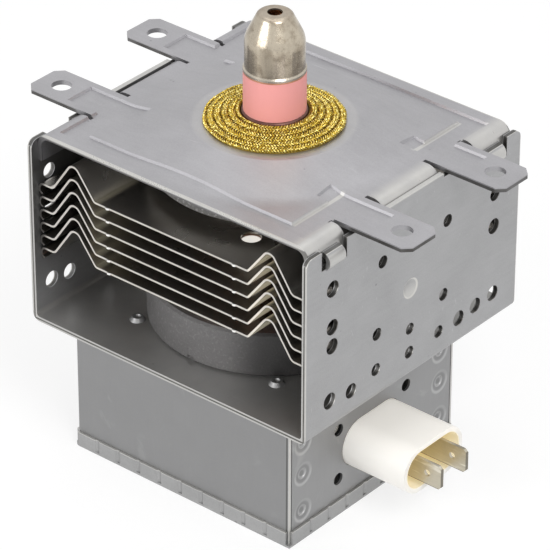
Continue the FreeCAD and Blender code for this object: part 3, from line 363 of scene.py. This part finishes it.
def top_plate_finish():
    """Plated sheet: painted highlights along the top of its cut edges, on its channel walls and on
    its bend, a lighter coined ring, and painted shade under its cut edges and on its tab sides.
    """
    def cut_edge(f):
        """The edges at the front and the back."""
        return abs(f.axis("Y")).rises_to(PLATE_HIGH.y, 0.35, 0.15)

    def bright(f):
        out, beside = f.axis("X"), abs(f.axis("Y"))
        # Painted highlights along the top of the front and back cut edges, on the channels' inner
        # walls and on the bend over the right wall; the coined ring is laid lighter
        rim = cut_edge(f) * f.axis("Z").above(*SHEET_HALVES)
        ring = distance(out, f.axis("Y")).within(*COINED_RING)
        channel = out.near(CHANNEL_WALL_X, 0.35, 0.7) * beside.within(*CHANNEL_RUN)
        clear_of_tabs = abs(beside - TAB_MIDDLE_Y).above(TAB_HALF, TAB_HALF + 2 * MM)
        bend = out.within(*RIGHT_BEND) * clear_of_tabs
        return (rim * 1.5).at_least(ring * 0.35).at_least(channel * 1.2).at_least(bend * 1.1)

    def dark(f):
        # Painted shade on the sides and ends of the tabs, and under the front and back cut edges
        out, up = abs(f.axis("X")), f.axis("Z")
        aside = abs(abs(f.axis("Y")) - TAB_MIDDLE_Y)
        side = aside.rises_to(TAB_HALF, 0.2, 0.1)
        end = out.rises_to(PLATE_HIGH.x, 0.2, 0.1)
        corner = (out + aside).rises_to(PLATE_HIGH.x + TAB_HALF - TAB_CORNER, 0.3, 0.15)
        tab = out.rises_to(WALL_OUT, 2, 0) * side.at_least(end).at_least(corner)
        under = cut_edge(f) * up.below(*SHEET_HALVES)
        return (tab * up.below(*TAB_SIDE_TOP)).at_least(under * 0.8)
    return plated_steel("plated_top_plate", (0.385, 0.38, 0.395), 0.36, bright, (8, 1, 1), dark)


def yoke_finish():
    """Plated sheet with bright sheared edges and wall tops, painted highlights on hole rims, lug
    and dimple, a lighter floor, and painted shade inside.
    """
    def ends(f):
        """The sheared edges at the front and the back."""
        return abs(f.axis("Y")).rises_to(YOKE_HIGH.y, 0.2, 0.05)

    def between_walls(f):
        """1 between the walls' inner faces."""
        return abs(f.axis("X")).falls_from(WALL_IN, 0, 0.1)

    def floor(f):
        """The floor between the walls."""
        return between_walls(f) * f.axis("Z").falls_from(YOKE_LOW.z, 2, 3)

    def over_bends(f):
        """1 above the bends from the floor to the walls."""
        return f.axis("Z").above(YOKE_LOW.z + 2 * MM, YOKE_LOW.z + 2.4 * MM)

    def from_dimple(f):
        """Distance from the middle of the dimple."""
        return distance(f.axis("Y") - DIMPLE_Y, f.axis("Z") - DIMPLE_Z)

    def bright(f):
        out, up = abs(f.axis("X")), f.axis("Z")
        top = up.rises_to(YOKE_HIGH.z, 0.3, 0.1)
        # Painted highlights on the rims of the wall holes, on the lug and on the dimple, stronger
        # on its lower part; the floor is laid lighter
        hole_rims = out.rises_to(WALL_OUT, 0.3, 0.2) * out.falls_from(WALL_OUT, -0.05, -0.02)
        hole_rims = hole_rims * over_bends(f)
        lug = out.above(WALL_OUT + 0.15 * MM, WALL_OUT + 0.5 * MM)
        dimple = from_dimple(f).below(*DIMPLE_RIM) * f.axis("X").above(0.0, WALL_OUT / 2)
        dimple = dimple * (0.25 + up.falls_from(DIMPLE_Z, -2.4, 1.4) * 0.85)
        return ends(f).at_least(top).at_least(hole_rims * 1.5).at_least(
            floor(f) * 0.7).at_least(lug).at_least(dimple)

    def dark(f):
        up = f.axis("Z")
        wall_middle = abs(f.axis("X")) - (WALL_OUT - WALL_SHEET / 2)
        floor_middle = up - (YOKE_LOW.z + WALL_SHEET / 2)
        shear_line = wall_middle.near(0.0, 0.12, 0.3).at_least(floor_middle.near(0.0, 0.12, 0.3))
        # Painted shade in the barrels of the wall holes, on the upper inner walls and on the floor
        # beside the right wall
        under_top = up.falls_from(YOKE_HIGH.z, -0.4, -0.2)
        barrels = wall_middle.near(0.0, 0.42, 0.5) * over_bends(f) * under_top
        barrels = barrels * (1 - ends(f)) * from_dimple(f).above(*mm(2.9, 3.2))
        high = between_walls(f) * up.above(YOKE_LOW.z + 6 * MM, YOKE_LOW.z + 24 * MM)
        beside_wall = floor(f) * (f.axis("X") + f.axis("Y") * SHADE_SLANT).above(*mm(8, 20))
        return (ends(f) * shear_line).at_least(barrels).at_least(
            high * 0.75).at_least(beside_wall * 0.6)
    return plated_steel("plated_yoke", (0.39, 0.39, 0.395), 0.4, bright, (1, 8, 1), dark)


def dish_rings(f):
    """Painted highlight and shade on the dishes: highlight on the rim and the pit, stronger on
    their lower side, and shade on the slope and the centre.
    """
    across = abs(abs(f.axis("Y") - DISH_MIDDLE_Y) - DISH_OFFSET_Y)
    face = f.axis("X").rises_to(BOX_HIGH.x, 0.8, 0.6)
    bright, dark = 0.0, 0.0
    for height in DISH_HEIGHTS:
        up = f.axis("Z") - height
        away = distance(across, up)
        lower = up.below(*mm(-1.2, 1.6))
        bright = bright + away.within(*DISH_RIM) * (0.35 + lower * 0.65)
        bright = bright + away.within(*DISH_PIT) * (0.4 + lower * 0.6)
        dark = dark + away.within(*DISH_SLOPE) * 0.6 + away.below(*DISH_CENTRE) * 0.8
    return bright * face, dark * face


def filter_box_finish():
    """Plated box, duller than the yoke, with painted shade on its front face, painted highlight
    and shade on its dishes, a dark seam and lighter lips at its corners.
    """
    f = Finish("plated_filter_box")
    cloud = f.noise(26, 4, twist=0.5)
    patch = f.noise(7, 3)
    lines = f.noise(0.5, 2, (2, 2, 12))
    grain = f.noise(0.35, 2)
    smudge = f.noise(11, 4, twist=1.2).above(0.62, 0.74)
    amount = 0.82 + cloud * 0.14 + patch * 0.1 + lines * 0.05 + grain * 0.06
    tone = f.shade((0.32, 0.32, 0.322), amount)
    tone = f.mix(tone, (0.5, 0.5, 0.5), smudge * 0.2)
    # Painted shade on the front face
    front = f.axis("Y").falls_from(BOX_LOW.y, 0.1, 0.3)
    tone = f.mix(tone, (0.22, 0.22, 0.222), front * 0.35)
    bright, dark = dish_rings(f)
    # Painted highlight and shade on the dishes
    tone = f.mix(tone, (0.62, 0.62, 0.62), bright * 0.4)
    tone = f.mix(tone, (0.09, 0.09, 0.092), dark * 0.4)
    out = f.axis("X")
    from_middle = abs(f.axis("Y") - (BOX_LOW.y + BOX_HIGH.y) / 2)
    lip = from_middle.rises_to((BOX_HIGH.y - BOX_LOW.y) / 2, 0.62, 0.58)
    tone = f.mix(tone, (0.72, 0.71, 0.68), out.rises_to(BOX_HIGH.x, 0.4, 0.2) * lip * 0.7)
    seam = out.rises_to(BOX_HIGH.x, 1.1, 0.9) * out.falls_from(BOX_HIGH.x, -0.6, -0.45)
    tone = f.mix(tone, (0.06, 0.06, 0.055), front * seam * 0.7)
    f.relief(cloud * 0.5 + lines * 0.12 + grain * 0.15, 0.05)
    return f.done(tone, 0.42 + cloud * 0.1 - smudge * 0.06, 0.85)


def lid_finish():
    """Plated lid, lighter along its top edge."""
    def bright(f):
        return f.axis("Z").rises_to(LID_HIGH.z, 0.35, 0.12)
    return plated_steel("plated_lid", (0.38, 0.38, 0.38), 0.4, bright, (6, 6, 1))


def fin_light(f, cloud):
    """Light on the fins: cream on slopes and valley, and the white patch of the second."""
    out = f.axis("X")
    valley = out.near(GLOW_VALLEY_X, 0.3, 1.8)
    lit = out.within(*GLOW_SLOPE).at_least(valley * 0.3)
    lit = lit * f.axis("Y").below(FIN_LOW.y, FIN_LOW.y + GLOW_DEPTH)
    light = f.mix((0, 0, 0), (0.30, 0.27, 0.195), lit * (0.45 + cloud * 0.6))
    # Painted white glow on the second fin, where it shows through the first fin's hole
    away = distance(out - PATCH_X, f.axis("Y") - PATCH_Y)
    patch = f.axis("Z").near(PATCH_Z, 0.35, 0.45) * away.below(*PATCH_RIM)
    return f.mix(light, (0.74, 0.73, 0.68), patch)


def fin_finish():
    """Rolled aluminium, warm and stained inside, with bright sheared edges, painted shade on the
    flanges by the walls and a painted glow inside.
    """
    f = Finish("rolled_fin_sheet")
    cloud = f.noise(18, 4, twist=0.8)
    lines = f.noise(0.4, 2, (16, 1, 1))
    grain = f.noise(0.3, 2)
    stain = f.noise(12, 2, twist=0.3).above(0.4, 0.7)
    edge = abs(f.axis("Y")).rises_to(FIN_HIGH.y, 0.4, 0.15)
    flange = abs(f.axis("X")).rises_to(FIN_HIGH.x, 2.6, 0.6)
    tone = f.shade((0.58, 0.555, 0.515), 0.8 + cloud * 0.16 + lines * 0.1 + grain * 0.1)
    tone = f.mix(tone, (0.36, 0.32, 0.27), stain * 0.3)
    # Painted shade on the flanges beside the yoke's walls
    tone = f.mix(tone, (0.14, 0.13, 0.12), flange * 0.8)
    tone = f.mix(tone, (0.93, 0.92, 0.9), edge)
    f.relief(lines * 0.3 + grain * 0.2, 0.012)
    rough = 0.24 + cloud * 0.08 + stain * 0.03 + edge * 0.12
    return f.done(tone, rough, 1.0 - edge * 0.3, fin_light(f, cloud))


def magnet_finish(name, colour, roughness, sparkle, shaded_side=False):
    """Sintered ferrite: ground faces, coarse grain, small chips and perhaps a shaded side."""
    f = Finish(name)
    grain = f.noise(0.55, 3)
    patch = f.noise(7, 4, twist=0.5)
    bright = f.noise(0.7, 2).above(0.56, 0.66)
    chips = f.flecks(2.6, 0.12) * f.noise(5, 2).above(0.52, 0.6)
    tone = f.shade(colour, 0.72 - sparkle * 0.8 + grain * (0.3 + sparkle * 1.6) + patch * 0.26)
    tone = f.mix(tone, (0.6, 0.59, 0.57), bright * sparkle)
    tone = f.mix(tone, [c * 0.4 for c in colour], chips * 0.7)
    if shaded_side:
        # Painted shade on the side towards +X
        tone = f.mix(tone, [c * 0.25 for c in colour], f.axis("X").above(*mm(8, 18)) * 0.9)
    f.relief(grain * 0.6 + patch * 0.3 - chips * 0.5, 0.12)
    return f.done(tone, roughness + patch * 0.1 - bright * 0.1, 0.25)


def cap_finish():
    """Drawn nickel: warm and streaked along the draw, with painted reflection bands, a painted
    highlight at the shoulder and painted shade on the top.
    """
    f = Finish("drawn_nickel_cap")
    streak = f.noise(1.3, 3, (1, 1, 14))
    fine = f.noise(0.3, 2, (1, 1, 14))
    cloud = f.noise(2.6, 4, twist=0.2)
    speck = f.noise(0.4, 2).above(0.58, 0.68)
    stain = cloud.above(0.45, 0.68)
    # Painted reflection bands running up the cap
    painted_reflection_band = f.noise(4.2, 1, (1, 1, 30)).above(0.38, 0.62)
    up = f.axis("Z")
    shoulder = up.rises_to(CAP_SHOULDER_Z, 1.6, -1.4)
    rim = up.falls_from(CAP_LOW.z, 0.7, 1.1)
    top = up.rises_to(CAP_HIGH.z, 0.7, 0.2)
    tone = f.shade((0.42, 0.365, 0.285), 0.42 + streak * 0.7 + fine * 0.16 + painted_reflection_band * 0.35)
    # Painted highlight on the shoulder
    tone = f.mix(tone, (0.56, 0.50, 0.405), shoulder * 0.6)
    tone = f.mix(tone, (0.17, 0.13, 0.085), stain * 0.45 + speck * shoulder * 0.35)
    # Painted shade on the top
    tone = f.mix(tone, (0.34, 0.29, 0.24), top * 0.55)
    tone = f.mix(tone, (0.58, 0.54, 0.47), rim * 0.5)
    f.relief(streak * 0.5 + cloud * 0.4 + fine * 0.2, 0.05)
    return f.done(tone, 0.15 + cloud * 0.14 + speck * 0.1 + top * 0.2, 1.0)


def ceramic_finish(name, colour, grain_share=0.1):
    """Fired alumina: even, finely pitted and slightly soft."""
    f = Finish(name)
    cloud = f.noise(6, 3)
    grain = f.noise(0.25, 2)
    tone = f.shade(colour, 0.94 + cloud * 0.06 + grain * grain_share)
    f.relief(grain * 0.5 + cloud * 0.2, 0.02)
    return f.done(tone, 0.46 + cloud * 0.1, 0.0)


def case_finish():
    """Moulded plastic sleeve: creamy outside, yellowed in the socket, with a painted glow all
    over, stronger on its upper part and in the socket.
    """
    f = Finish("moulded_case")
    cloud = f.noise(9, 3)
    grain = f.noise(0.4, 2)
    centre = (CASE_LOW + CASE_HIGH) / 2
    half_z = (CASE_HIGH.z - CASE_LOW.z) / 2 - CASE_SHOULDER
    straight = (CASE_HIGH.y - CASE_LOW.y) / 2 - CASE_SHOULDER - half_z
    side = (abs(f.axis("Y") - centre.y) - straight).at_least(0.0)
    from_spine = distance(side, f.axis("Z") - centre.z)
    inside = from_spine.falls_from(half_z, -1.3, -0.9)
    deep = f.axis("X").falls_from(CASE_HIGH.x, -9, 1)
    tone = f.shade((0.96, 0.94, 0.90), 0.97 + cloud * 0.03 + grain * 0.03)
    tone = f.mix(tone, (0.86, 0.76, 0.48), inside * (0.3 + deep * 0.6))
    # Painted glow for light in the plastic: stronger on the upper part and in the socket
    upper = f.axis("Z").above(centre.z + half_z * 0.3, centre.z + half_z * 0.9)
    light = f.mix((0.10, 0.095, 0.085), (0.24, 0.225, 0.20), upper * 0.8)
    light = f.mix(light, (0.24, 0.20, 0.11), inside)
    f.relief(grain * 0.4 + cloud * 0.4, 0.03)
    return f.done(tone, 0.38 + cloud * 0.08, 0.0, light)


def resin_finish():
    """Cast resin round the blades, amber and slightly wavy, with a painted glow."""
    f = Finish("cast_resin")
    cloud = f.noise(4, 4, twist=1.0)
    tone = f.mix((0.72, 0.57, 0.26), (0.90, 0.78, 0.46), cloud)
    # Painted glow for the light in the resin
    light = f.mix((0.09, 0.07, 0.03), (0.18, 0.15, 0.07), cloud)
    f.relief(cloud, 0.15)
    return f.done(tone, 0.3 + cloud * 0.15, 0.0, light)


def blade_finish():
    """Tin-plated blades, with press lines, rubbed flats and dark cut edges."""
    f = Finish("tinned_blades")
    lines = f.noise(0.35, 2, (14, 1, 1))
    cloud = f.noise(3, 4, twist=0.8)
    rub = f.noise(1.2, 2, (6, 1, 1)).above(0.58, 0.7)
    tone = f.shade((0.60, 0.555, 0.45), 0.70 + lines * 0.2 + cloud * 0.24)
    tone = f.mix(tone, (0.95, 0.92, 0.84), rub * 0.5)
    low = f.axis("Z").falls_from(BLADE_LOW.z, 0.08, 0.25)
    end = f.axis("X").rises_to(BLADE_HIGH.x, 0.25, 0.08)
    tone = f.mix(tone, (0.12, 0.11, 0.09), low.at_least(end) * 0.8)
    f.relief(lines * 0.5 + cloud * 0.3, 0.03)
    return f.done(tone, 0.3 + cloud * 0.12, 0.85)


def wire_finish():
    """Brassy wire of the mesh, with painted glints and painted shade between wires, as small
    random specks.
    """
    f = Finish("knitted_brass_wire")
    cloud = f.noise(2.2, 3)
    # Painted glints and painted shade of the gaps between wires, as random specks
    painted_glint = f.noise(0.45, 2).above(0.5, 0.58)
    painted_shade_speck = f.noise(0.55, 2, twist=0.5).above(0.5, 0.6)
    tone = f.mix((0.50, 0.35, 0.04), (1.0, 0.88, 0.34), painted_glint * 0.85)
    tone = f.mix(tone, (0.12, 0.07, 0.006), painted_shade_speck * 0.7)
    tone = f.shade(tone, 0.9 + cloud * 0.3)
    return f.done(tone, 0.24 + cloud * 0.12, 0.9)


def base_wire_finish():
    """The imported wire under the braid, in shade."""
    f = Finish("packed_brass_wire")
    cloud = f.noise(0.6, 3)
    tone = f.mix((0.12, 0.075, 0.01), (0.42, 0.29, 0.04), cloud)
    f.relief(cloud, 0.2)
    return f.done(tone, 0.45 + cloud * 0.1, 0.8)


def drawn_metal(name, colour, roughness, stretch=(1, 1, 8), stain=None):
    """Plain drawn or turned metal, with lines along a stretched axis."""
    f = Finish(name)
    lines = f.noise(0.5, 2, stretch)
    cloud = f.noise(5, 4, twist=0.7)
    tone = f.shade(colour, 0.8 + lines * 0.18 + cloud * 0.24)
    if stain:
        tone = f.mix(tone, stain, cloud.above(0.42, 0.66) * 0.7)
    f.relief(lines * 0.5 + cloud * 0.4, 0.04)
    return f.done(tone, roughness + cloud * 0.14, 0.95)


def enamelled_wire():
    """Copper wire under clear enamel."""
    f = Finish("enamelled_choke_wire")
    cloud = f.noise(3, 3)
    tone = f.mix((0.42, 0.14, 0.05), (0.62, 0.26, 0.1), cloud)
    return f.done(tone, 0.3 + cloud * 0.1, 0.8, **{"Coat Weight": 0.3 + cloud * 0.2})


def dress(finish, *names):
    """Gives one material to CAD nodes or pieces."""
    for name in names:
        mesh = (nodes.get(name) or bpy.data.objects[name]).data
        mesh.materials.clear()
        mesh.materials.append(finish)


def new_piece(name, body_mesh, finish, smooth=True):
    """Makes a mesh a piece of the object that rides with it."""
    piece = bpy.data.objects.new(name, body_mesh)
    bpy.context.scene.collection.objects.link(piece)
    for face in body_mesh.polygons:
        face.use_smooth = smooth
    dress(finish, name)
    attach(piece, "root")
    return piece


def strand_mesh(paths):
    """Round wires along closed paths, as one mesh."""
    curve = bpy.data.curves.new("wire_path", "CURVE")
    curve.dimensions = "3D"
    curve.bevel_depth = WIRE_RADIUS
    curve.bevel_resolution = WIRE_ROUNDING
    curve.use_fill_caps = False
    for path in paths:
        spline = curve.splines.new("POLY")
        spline.points.add(len(path) - 1)
        for point, place in zip(spline.points, path):
            point.co = (*place, 1.0)
        spline.use_cyclic_u = True
    holder = bpy.data.objects.new("wire_path", curve)
    bpy.context.scene.collection.objects.link(holder)
    bpy.context.view_layer.update()
    mesh = bpy.data.meshes.new_from_object(holder)
    bpy.data.objects.remove(holder)
    bpy.data.curves.remove(curve)
    return mesh


def braid_path(ring, strand):
    """One wire of one plait, wound round the plait's middle as it runs round the antenna."""
    width = (GASKET_HIGH.x - GASKET_BORE) / RINGS
    away = GASKET_HIGH.x - (ring + 0.5) * width
    share = (ring + 0.5) / RINGS
    rim_z = GASKET_LOW.z + BRAID_OVER_FOOT
    bore_z = GASKET_HIGH.z - BRAID_UNDER_TOP
    height = rim_z + (bore_z - rim_z) * share
    twists = round(2 * math.pi * away / TWIST_PITCH)
    lead = 1 if ring % 2 else -1
    waves = QUICK_WAVES + WAVES_PER_RING * ring
    steps = twists * STEPS_PER_TWIST
    path = []
    for i in range(steps):
        turn = 2 * math.pi * i / steps
        wind = lead * turn * twists + 2 * math.pi * strand / STRANDS
        swell = 1 + SLOW_SWELL * math.sin(SLOW_WAVES * turn + ring) + QUICK_SWELL * math.sin(
            waves * turn + STRAND_SHIFT * strand + RING_SHIFT * ring)
        out = away + TWIST_RADIUS * swell * math.cos(wind)
        up = height + TWIST_FLATNESS * TWIST_RADIUS * swell * math.sin(wind)
        path.append((out * math.cos(turn), out * math.sin(turn), up))
    return path


def make_gasket_core():
    """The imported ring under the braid, a low cone with a level foot."""
    inner = GASKET_BORE - CORE_PAST_BORE
    outer = GASKET_HIGH.x - CORE_SHORT_OF_RIM
    low = GASKET_LOW.z
    section = [(inner, low), (outer, low), (outer, low + CORE_RIM_HEIGHT),
               (inner, GASKET_HIGH.z - CORE_UNDER_TOP)]
    form = bmesh.new()
    corners = [form.verts.new((x, 0, z)) for x, z in section]
    edges = [form.edges.new((corners[i - 1], corners[i])) for i in range(len(corners))]
    bmesh.ops.spin(form, geom=corners + edges, cent=(0, 0, 0), axis=(0, 0, 1), dvec=(0, 0, 0),
                   angle=2 * math.pi, steps=CORE_STEPS, use_merge=True, use_duplicate=False)
    bmesh.ops.recalc_face_normals(form, faces=form.faces)
    mesh = bpy.data.meshes.new("gasket_core")
    form.to_mesh(mesh)
    form.free()
    return new_piece("gasket_core", mesh, base_wire_finish(), smooth=False)


def make_gasket_braid():
    """The woven surface of the gasket: plaits of wire laid in rings."""
    paths = [braid_path(ring, strand) for ring in range(RINGS) for strand in range(STRANDS)]
    new_piece("gasket_braid", strand_mesh(paths), wire_finish())


def area_light(name, place, size, power):
    """A square softbox that faces the object."""
    lamp = bpy.data.lights.new(name, "AREA")
    lamp.energy = power
    lamp.shape = "SQUARE"
    lamp.size = size
    holder = bpy.data.objects.new(name, lamp)
    direction = LIGHT_AIM - Vector(place)
    turn = direction.to_track_quat("-Z", "Y").to_matrix().to_4x4()
    holder.matrix_world = Matrix.Translation(place) @ turn
    bpy.context.scene.collection.objects.link(holder)


def floor_finish():
    """Pale floor: white to the camera, and still holding the object's shadow."""
    f = Finish("pale_floor")
    f.put(f.shader.inputs["Base Color"], (0.9, 0.9, 0.9))
    f.put(f.shader.inputs["Roughness"], 0.9)
    f.put(f.shader.inputs["Specular IOR Level"], 0.0)
    lit = Tone(f, f.shader.outputs[0])
    glow = f.add("ShaderNodeEmission", None, {"Color": (1, 1, 1), "Strength": FLOOR_STRENGTH})
    share = f.seen_share() * FLOOR_GLOW
    surface = f.add("ShaderNodeMixShader", None, dict(enumerate([share, lit, glow])))
    f.put(f.tree.nodes["Material Output"].inputs["Surface"], surface)
    return f.material


def make_floor():
    """A level plane under the lid."""
    form = bmesh.new()
    bmesh.ops.create_grid(form, x_segments=1, y_segments=1, size=FLOOR_HALF)
    bmesh.ops.translate(form, verts=form.verts, vec=(0, 0, LID_LOW.z))
    mesh = bpy.data.meshes.new("floor")
    form.to_mesh(mesh)
    form.free()
    floor = bpy.data.objects.new("floor", mesh)
    bpy.context.scene.collection.objects.link(floor)
    mesh.materials.append(floor_finish())


def make_world():
    """White surroundings for what is seen and mirrored, and a plain sky for the light."""
    world = bpy.data.worlds.new("studio")
    bpy.context.scene.world = world
    world.use_nodes = True
    sky = Pattern(world.node_tree)
    background = world.node_tree.nodes["Background"]
    sky.put(background.inputs["Color"], (1, 1, 1))
    sky.put(background.inputs["Strength"], sky.seen_share().at_least(SKY_LEVEL))


def make_camera():
    """The camera that sees the object as the photograph does."""
    right = Vector((math.cos(CAMERA_AZIMUTH), math.sin(CAMERA_AZIMUTH), 0))
    level = math.cos(CAMERA_ELEVATION)
    back = Vector((math.sin(CAMERA_AZIMUTH) * level, -math.cos(CAMERA_AZIMUTH) * level,
                   math.sin(CAMERA_ELEVATION)))
    upright = back.cross(right)
    across = math.cos(CAMERA_ROLL) * right + math.sin(CAMERA_ROLL) * upright
    above = -math.sin(CAMERA_ROLL) * right + math.cos(CAMERA_ROLL) * upright
    lens = bpy.data.cameras.new("photo_camera")
    lens.lens = FOCAL_LENGTH
    lens.sensor_width = SENSOR
    camera = bpy.data.objects.new("photo_camera", lens)
    turn = Matrix((across, above, back)).transposed().to_4x4()
    camera.matrix_world = Matrix.Translation(CAMERA_PLACE) @ turn
    bpy.context.scene.collection.objects.link(camera)
    bpy.context.scene.camera = camera


dress(top_plate_finish(), "top_plate")
dress(yoke_finish(), "yoke_frame")
dress(fin_finish(), *("cooling_fin_%d" % i for i in range(1, 7)))
dress(magnet_finish("upper_ferrite_ring", (0.18, 0.177, 0.172), 0.65, 0.4), "upper_magnet")
dress(magnet_finish("lower_ferrite_ring", (0.165, 0.16, 0.16), 0.42, 0.08, shaded_side=True),
      "lower_magnet")
dress(filter_box_finish(), "filter_box")
dress(lid_finish(), "filter_box_lid")
dress(plated_steel("formed_rivets", (0.34, 0.34, 0.34), 0.36), "box_rivets")
dress(cap_finish(), "antenna_cap")
dress(ceramic_finish("pink_fired_ceramic", (1.0, 0.42, 0.40), 0.06), "antenna_ceramic")
dress(ceramic_finish("white_fired_ceramic", (0.82, 0.79, 0.74)), "stem_ceramic")
dress(case_finish(), "capacitor_case")
dress(resin_finish(), "capacitor_filling")
dress(blade_finish(), "terminal_blades")
dress(drawn_metal("stained_seal_steel", (0.16, 0.085, 0.07), 0.4, stain=(0.08, 0.035, 0.03)),
      "upper_seal_cup")
dress(drawn_metal("plain_seal_steel", (0.42, 0.41, 0.4), 0.34), "lower_seal_cup")
dress(drawn_metal("pressed_pole_iron", (0.36, 0.35, 0.34), 0.4, (1, 1, 1)),
      "upper_pole_piece", "lower_pole_piece")
dress(drawn_metal("drawn_copper", (0.72, 0.34, 0.2), 0.3, stain=(0.42, 0.17, 0.1)),
      "anode_cylinder", "anode_vanes", "antenna_lead", "exhaust_tube")
dress(drawn_metal("stamped_strap_copper", (0.7, 0.37, 0.24), 0.28, (1, 1, 1)), "strap_rings")
dress(drawn_metal("filament_metal", (0.16, 0.15, 0.15), 0.45), "filament_coil")
dress(drawn_metal("hat_metal", (0.3, 0.29, 0.29), 0.38, (1, 1, 1)),
      "upper_end_hat", "lower_end_hat")
dress(drawn_metal("lead_metal", (0.34, 0.33, 0.33), 0.32), "cathode_leads")
dress(plated_steel("plated_flange", (0.06, 0.06, 0.06), 0.42), "capacitor_flange")
dress(magnet_finish("pressed_choke_ferrite", (0.05, 0.05, 0.052), 0.5, 0.05), "choke_cores")
dress(enamelled_wire(), "choke_coils")
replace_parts(make_gasket_core(), "mesh_gasket")
make_gasket_braid()

make_floor()
make_world()
area_light("key_softbox", (0.75, -0.35, 0.85), size=0.5, power=6.0)
area_light("front_softbox", (-0.25, -1.1, 0.38), size=0.7, power=4.6)
area_light("top_softbox", (-0.1, 0.15, 1.2), size=0.9, power=4.2)
make_camera()
bpy.context.scene.view_settings.view_transform = "Standard"
